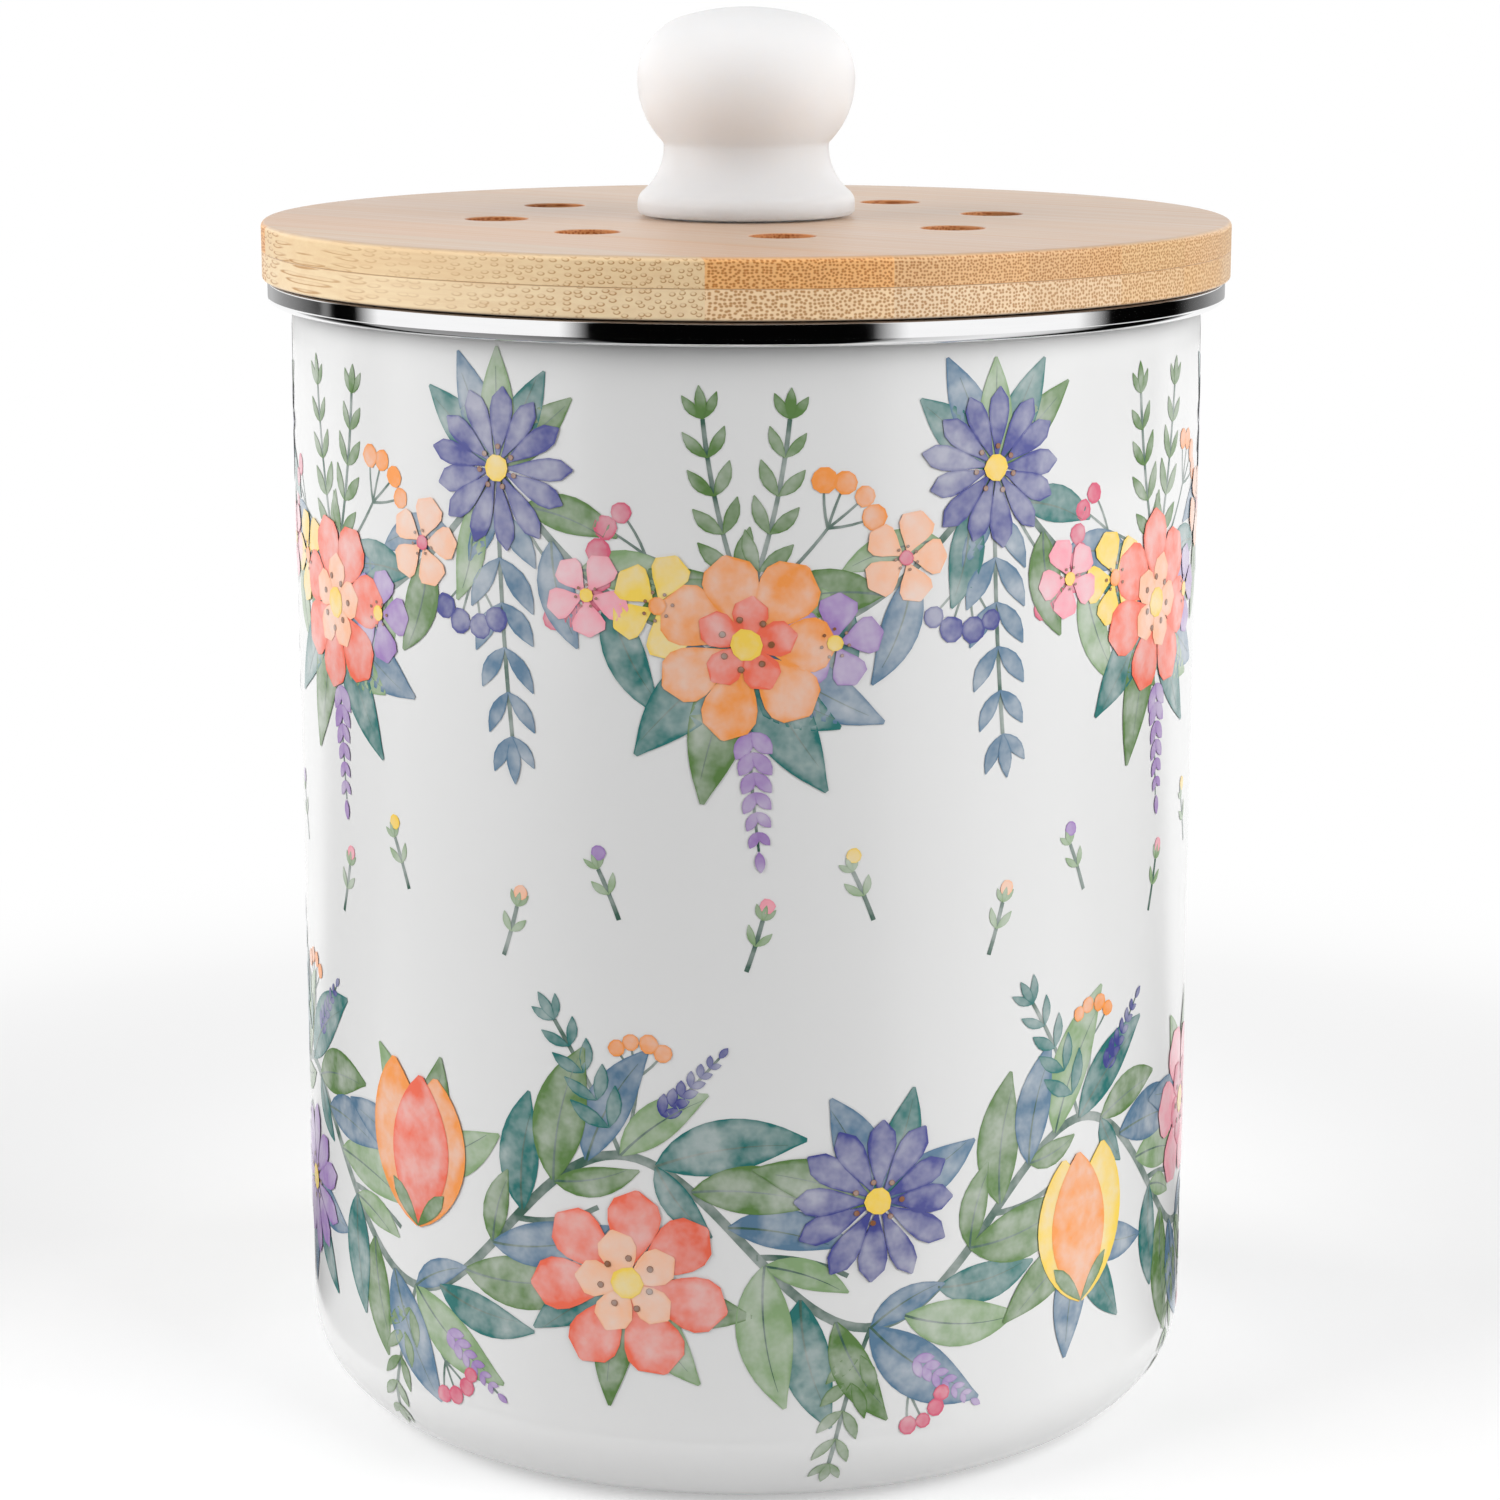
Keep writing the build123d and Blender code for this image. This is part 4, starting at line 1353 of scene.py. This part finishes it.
class CADDY_OT_print(bpy.types.Operator):
    """Paints the garland, the scroll and the small sprigs on the can"""

    bl_idname = "caddy.print"
    bl_label = "Paint the can"

    def execute(self, context):
        sizes = context.scene.caddy_print
        can = context.scene.caddy_can
        finishes = [paint_finish(ink + "_paint", getattr(sizes, ink), can.enamel) for ink in INKS]
        bay = 2 * pi * can.body_radius / sizes.bays
        for name, seed, motif, times, gap in (
            ("painted_garland", 11, self.swag, sizes.bays, bay),
            ("painted_scroll", 23, self.scroll, sizes.bays, bay),
            ("painted_sprigs", 31, self.sprig, sizes.bays * 4, bay / 4),
        ):
            brush = Brush(can.body_radius, can.corner_radius, sizes.step, seed)
            for number in range(times):
                motif(brush, sizes, gap, number)
            piece = put_in_scene(brush.mesh(name, finishes))
            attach(piece, "can")
        return {"FINISHED"}

    def swag(self, brush, sizes, bay, number):
        """One hanging swag, from the daisy that it starts at."""
        start = (number - 0.5) * bay
        high = sizes.garland_height
        sag = sizes.garland_sag * 4

        def along(share):
            """A place on the swag, and the way that it runs there."""
            place = (start + bay * share, high - sag * share * (1 - share))
            return place, atan2(-sag * (1 - 2 * share), bay)

        brush.vine(along, 44, 1.2 * MM)
        stations = 17
        for station in range(1, stations):
            share = station / stations
            place, slope = along(share)
            first_half = share < 0.5
            lean = 0.8 if (station % 2 == 1) == first_half else -0.8
            heading = slope + lean + (0 if first_half else pi)
            size = (25 - 9 * abs(2 * share - 1)) * MM
            green = SWAG_GREENS[(station * 3 + number) % 4]
            brush.leaf(place, heading, size, green, 1 + 2 * (station % 3), -lean * 0.7)
        for share, size, ink, heart in (
            (0.19, 14, "pink", "yellow"),
            (0.33, 17, "yellow", "orange"),
            (0.67, 16, "violet", "yellow"),
            (0.81, 15, "peach", "rose"),
        ):
            around, height = along(share)[0]
            height += (3 if size % 2 else -3) * MM
            brush.blossom((around, height), size * MM, ink, heart, 5, 9, 1.0)
        middle = along(0.5)[0]
        above = (middle[0], middle[1] + 6 * MM)
        for side, berry in ((-1, "rose"), (1, "orange")):
            brush.spray(above, pi / 2 - side * 0.35, 31 * MM, "leaf", 5, side * 0.25, 0.24, 1)
            brush.berries(above, pi / 2 - side * 0.95, 26 * MM, berry, 1)
        for heading, ink in ((-2.5, "teal"), (-0.65, "slate"), (-2.0, "leaf"), (-1.15, "teal")):
            brush.leaf(middle, heading, 27 * MM, ink, 5, 0.25)
        brush.spike(middle, -pi / 2, 34 * MM, "violet", 6)
        outer, inner = ("coral", "peach") if number % 2 else ("orange", "coral")
        brush.blossom(middle, 31 * MM, outer, "yellow", 7, 11, 1.1, inner)

        knot = (start, high)
        for heading, ink, layer in (
            (2.45, "teal", 2),
            (0.7, "leaf", 2),
            (1.57, "sage", 4),
            (2.0, "slate", 2),
            (1.1, "teal", 2),
        ):
            brush.leaf(knot, heading, 19 * MM, ink, layer)
        brush.berries(knot, -1.15, 27 * MM, "rose", 3)
        brush.berries(knot, -1.99, 27 * MM, "indigo", 3)
        brush.spray(knot, -pi / 2, 44 * MM, "slate", 6, 0.1, 0.25, 3)
        brush.blossom(knot, 26 * MM, "indigo", "yellow", 13, 9, 1.05)

    def scroll(self, brush, sizes, bay, number):
        """One wave of the scrolling stem, with a flower curled into each of its bends."""
        start = (number - 0.5) * bay
        middle = sizes.scroll_height
        swing = sizes.scroll_swing

        def along(share):
            """A place on the stem, and the way that it runs there."""
            place = (start + bay * share, middle + swing * sin(2 * pi * share))
            return place, atan2(swing * 2 * pi * cos(2 * pi * share), bay)

        brush.vine(along, 46, 1.6 * MM)
        stations = 14
        for station in range(stations):
            share = (station + 0.5) / stations
            place, slope = along(share)
            outer = 1 if share < 0.5 else -1
            size = (20 + 3 * ((station * 5 + number) % 3)) * MM
            green = SCROLL_GREENS[(station + number) % 4]
            layer = 1 + 2 * (station % 2)
            brush.leaf(place, slope + outer * 0.85, size, green, layer, -outer * 0.5)
            if station % 3 == 1:
                green = SCROLL_GREENS[station % 4]
                brush.leaf(place, slope - outer * 0.7, size * 0.6, green, 2, outer * 0.5)
        bends = (1, "orange", "teal", "indigo"), (-1, "rose", "leaf", "violet")
        for half, (side, berry, leaf, bud) in enumerate(bends):
            around = start + bay * (0.25 + 0.5 * half)
            place = (around + 1 * MM, middle - side * 7 * MM)
            root, slope = along(0.02 + 0.5 * half)
            heading = slope - side * 0.9
            brush.curve(root, heading, 16 * MM, side * 0.6, 1.1 * MM, 0.2)
            ink, inner, petals, size = SCROLL_FLOWERS[(number * 2 + half) % 6]
            for turn in (0.35, 1.1, 1.9, 2.7):
                green = SCROLL_GREENS[(number + half + int(3 * turn)) % 4]
                brush.leaf(place, -side * turn, 21 * MM, green, 3 + 2 * int(turn), 0.3)
            if petals:
                brush.blossom(place, size * MM, ink, "yellow", petals, 10, 1.05, inner)
            else:
                low = (place[0], place[1] - 11 * MM)
                brush.cup(low, pi / 2, size * MM, ink, inner, 10)
            outside = (around, middle + side * swing)
            brush.berries(outside, side * 1.2, 20 * MM, berry, 3)
            brush.spray(outside, side * 1.95, 25 * MM, leaf, 5, 0.2, 0.3, 3)
            brush.spike(outside, side * 0.75, 24 * MM, bud, 3)

    def sprig(self, brush, sizes, gap, number):
        """A small sprig in the quiet band between the garland and the scroll."""
        side = 1 if number % 2 else -1
        around = number * gap
        height = (sizes.garland_height + sizes.scroll_height) / 2 + (4 * side - 9) * MM
        heading = pi / 2 + side * 0.35
        brush.spray((around, height - 4 * MM), heading, 9 * MM, "sage", 2, 0.1, 0.42, 1)
        ink = ("pink", "yellow", "peach", "violet")[number % 4]
        brush.dot((around + cos(heading) * 10 * MM, height + 7 * MM), 1.3 * MM, ink, 3)


class CADDY_PT_panel(bpy.types.Panel):
    """Lists the caddy's pieces and its studio"""

    bl_idname = "CADDY_PT_panel"
    bl_label = "Compost Caddy"
    bl_space_type = "VIEW_3D"
    bl_region_type = "UI"
    bl_category = "Caddy"

    def draw(self, context):
        for operator in OPERATORS:
            self.layout.operator(operator.bl_idname)


GROUPS = {
    "caddy_can": CaddyCan,
    "caddy_lid": CaddyLid,
    "caddy_knob": CaddyKnob,
    "caddy_filter": CaddyFilter,
    "caddy_print": CaddyPrint,
    "caddy_studio": CaddyStudio,
}
OPERATORS = (
    CADDY_OT_studio,
    CADDY_OT_can,
    CADDY_OT_lid,
    CADDY_OT_spigot,
    CADDY_OT_knob,
    CADDY_OT_filter,
    CADDY_OT_print,
)


def register():
    for name, group in GROUPS.items():
        bpy.utils.register_class(group)
        setattr(bpy.types.Scene, name, bpy.props.PointerProperty(type=group))
    for operator in OPERATORS:
        bpy.utils.register_class(operator)
    bpy.utils.register_class(CADDY_PT_panel)


def unregister():
    bpy.utils.unregister_class(CADDY_PT_panel)
    for operator in reversed(OPERATORS):
        bpy.utils.unregister_class(operator)
    for name, group in reversed(GROUPS.items()):
        delattr(bpy.types.Scene, name)
        bpy.utils.unregister_class(group)


def main():
    register()
    bpy.ops.caddy.studio()
    bpy.ops.caddy.can()
    bpy.ops.caddy.lid()
    bpy.ops.caddy.spigot()
    bpy.ops.caddy.knob()
    bpy.ops.caddy.filter()
    bpy.ops.caddy.print()


if __name__ == "__main__":
    main()
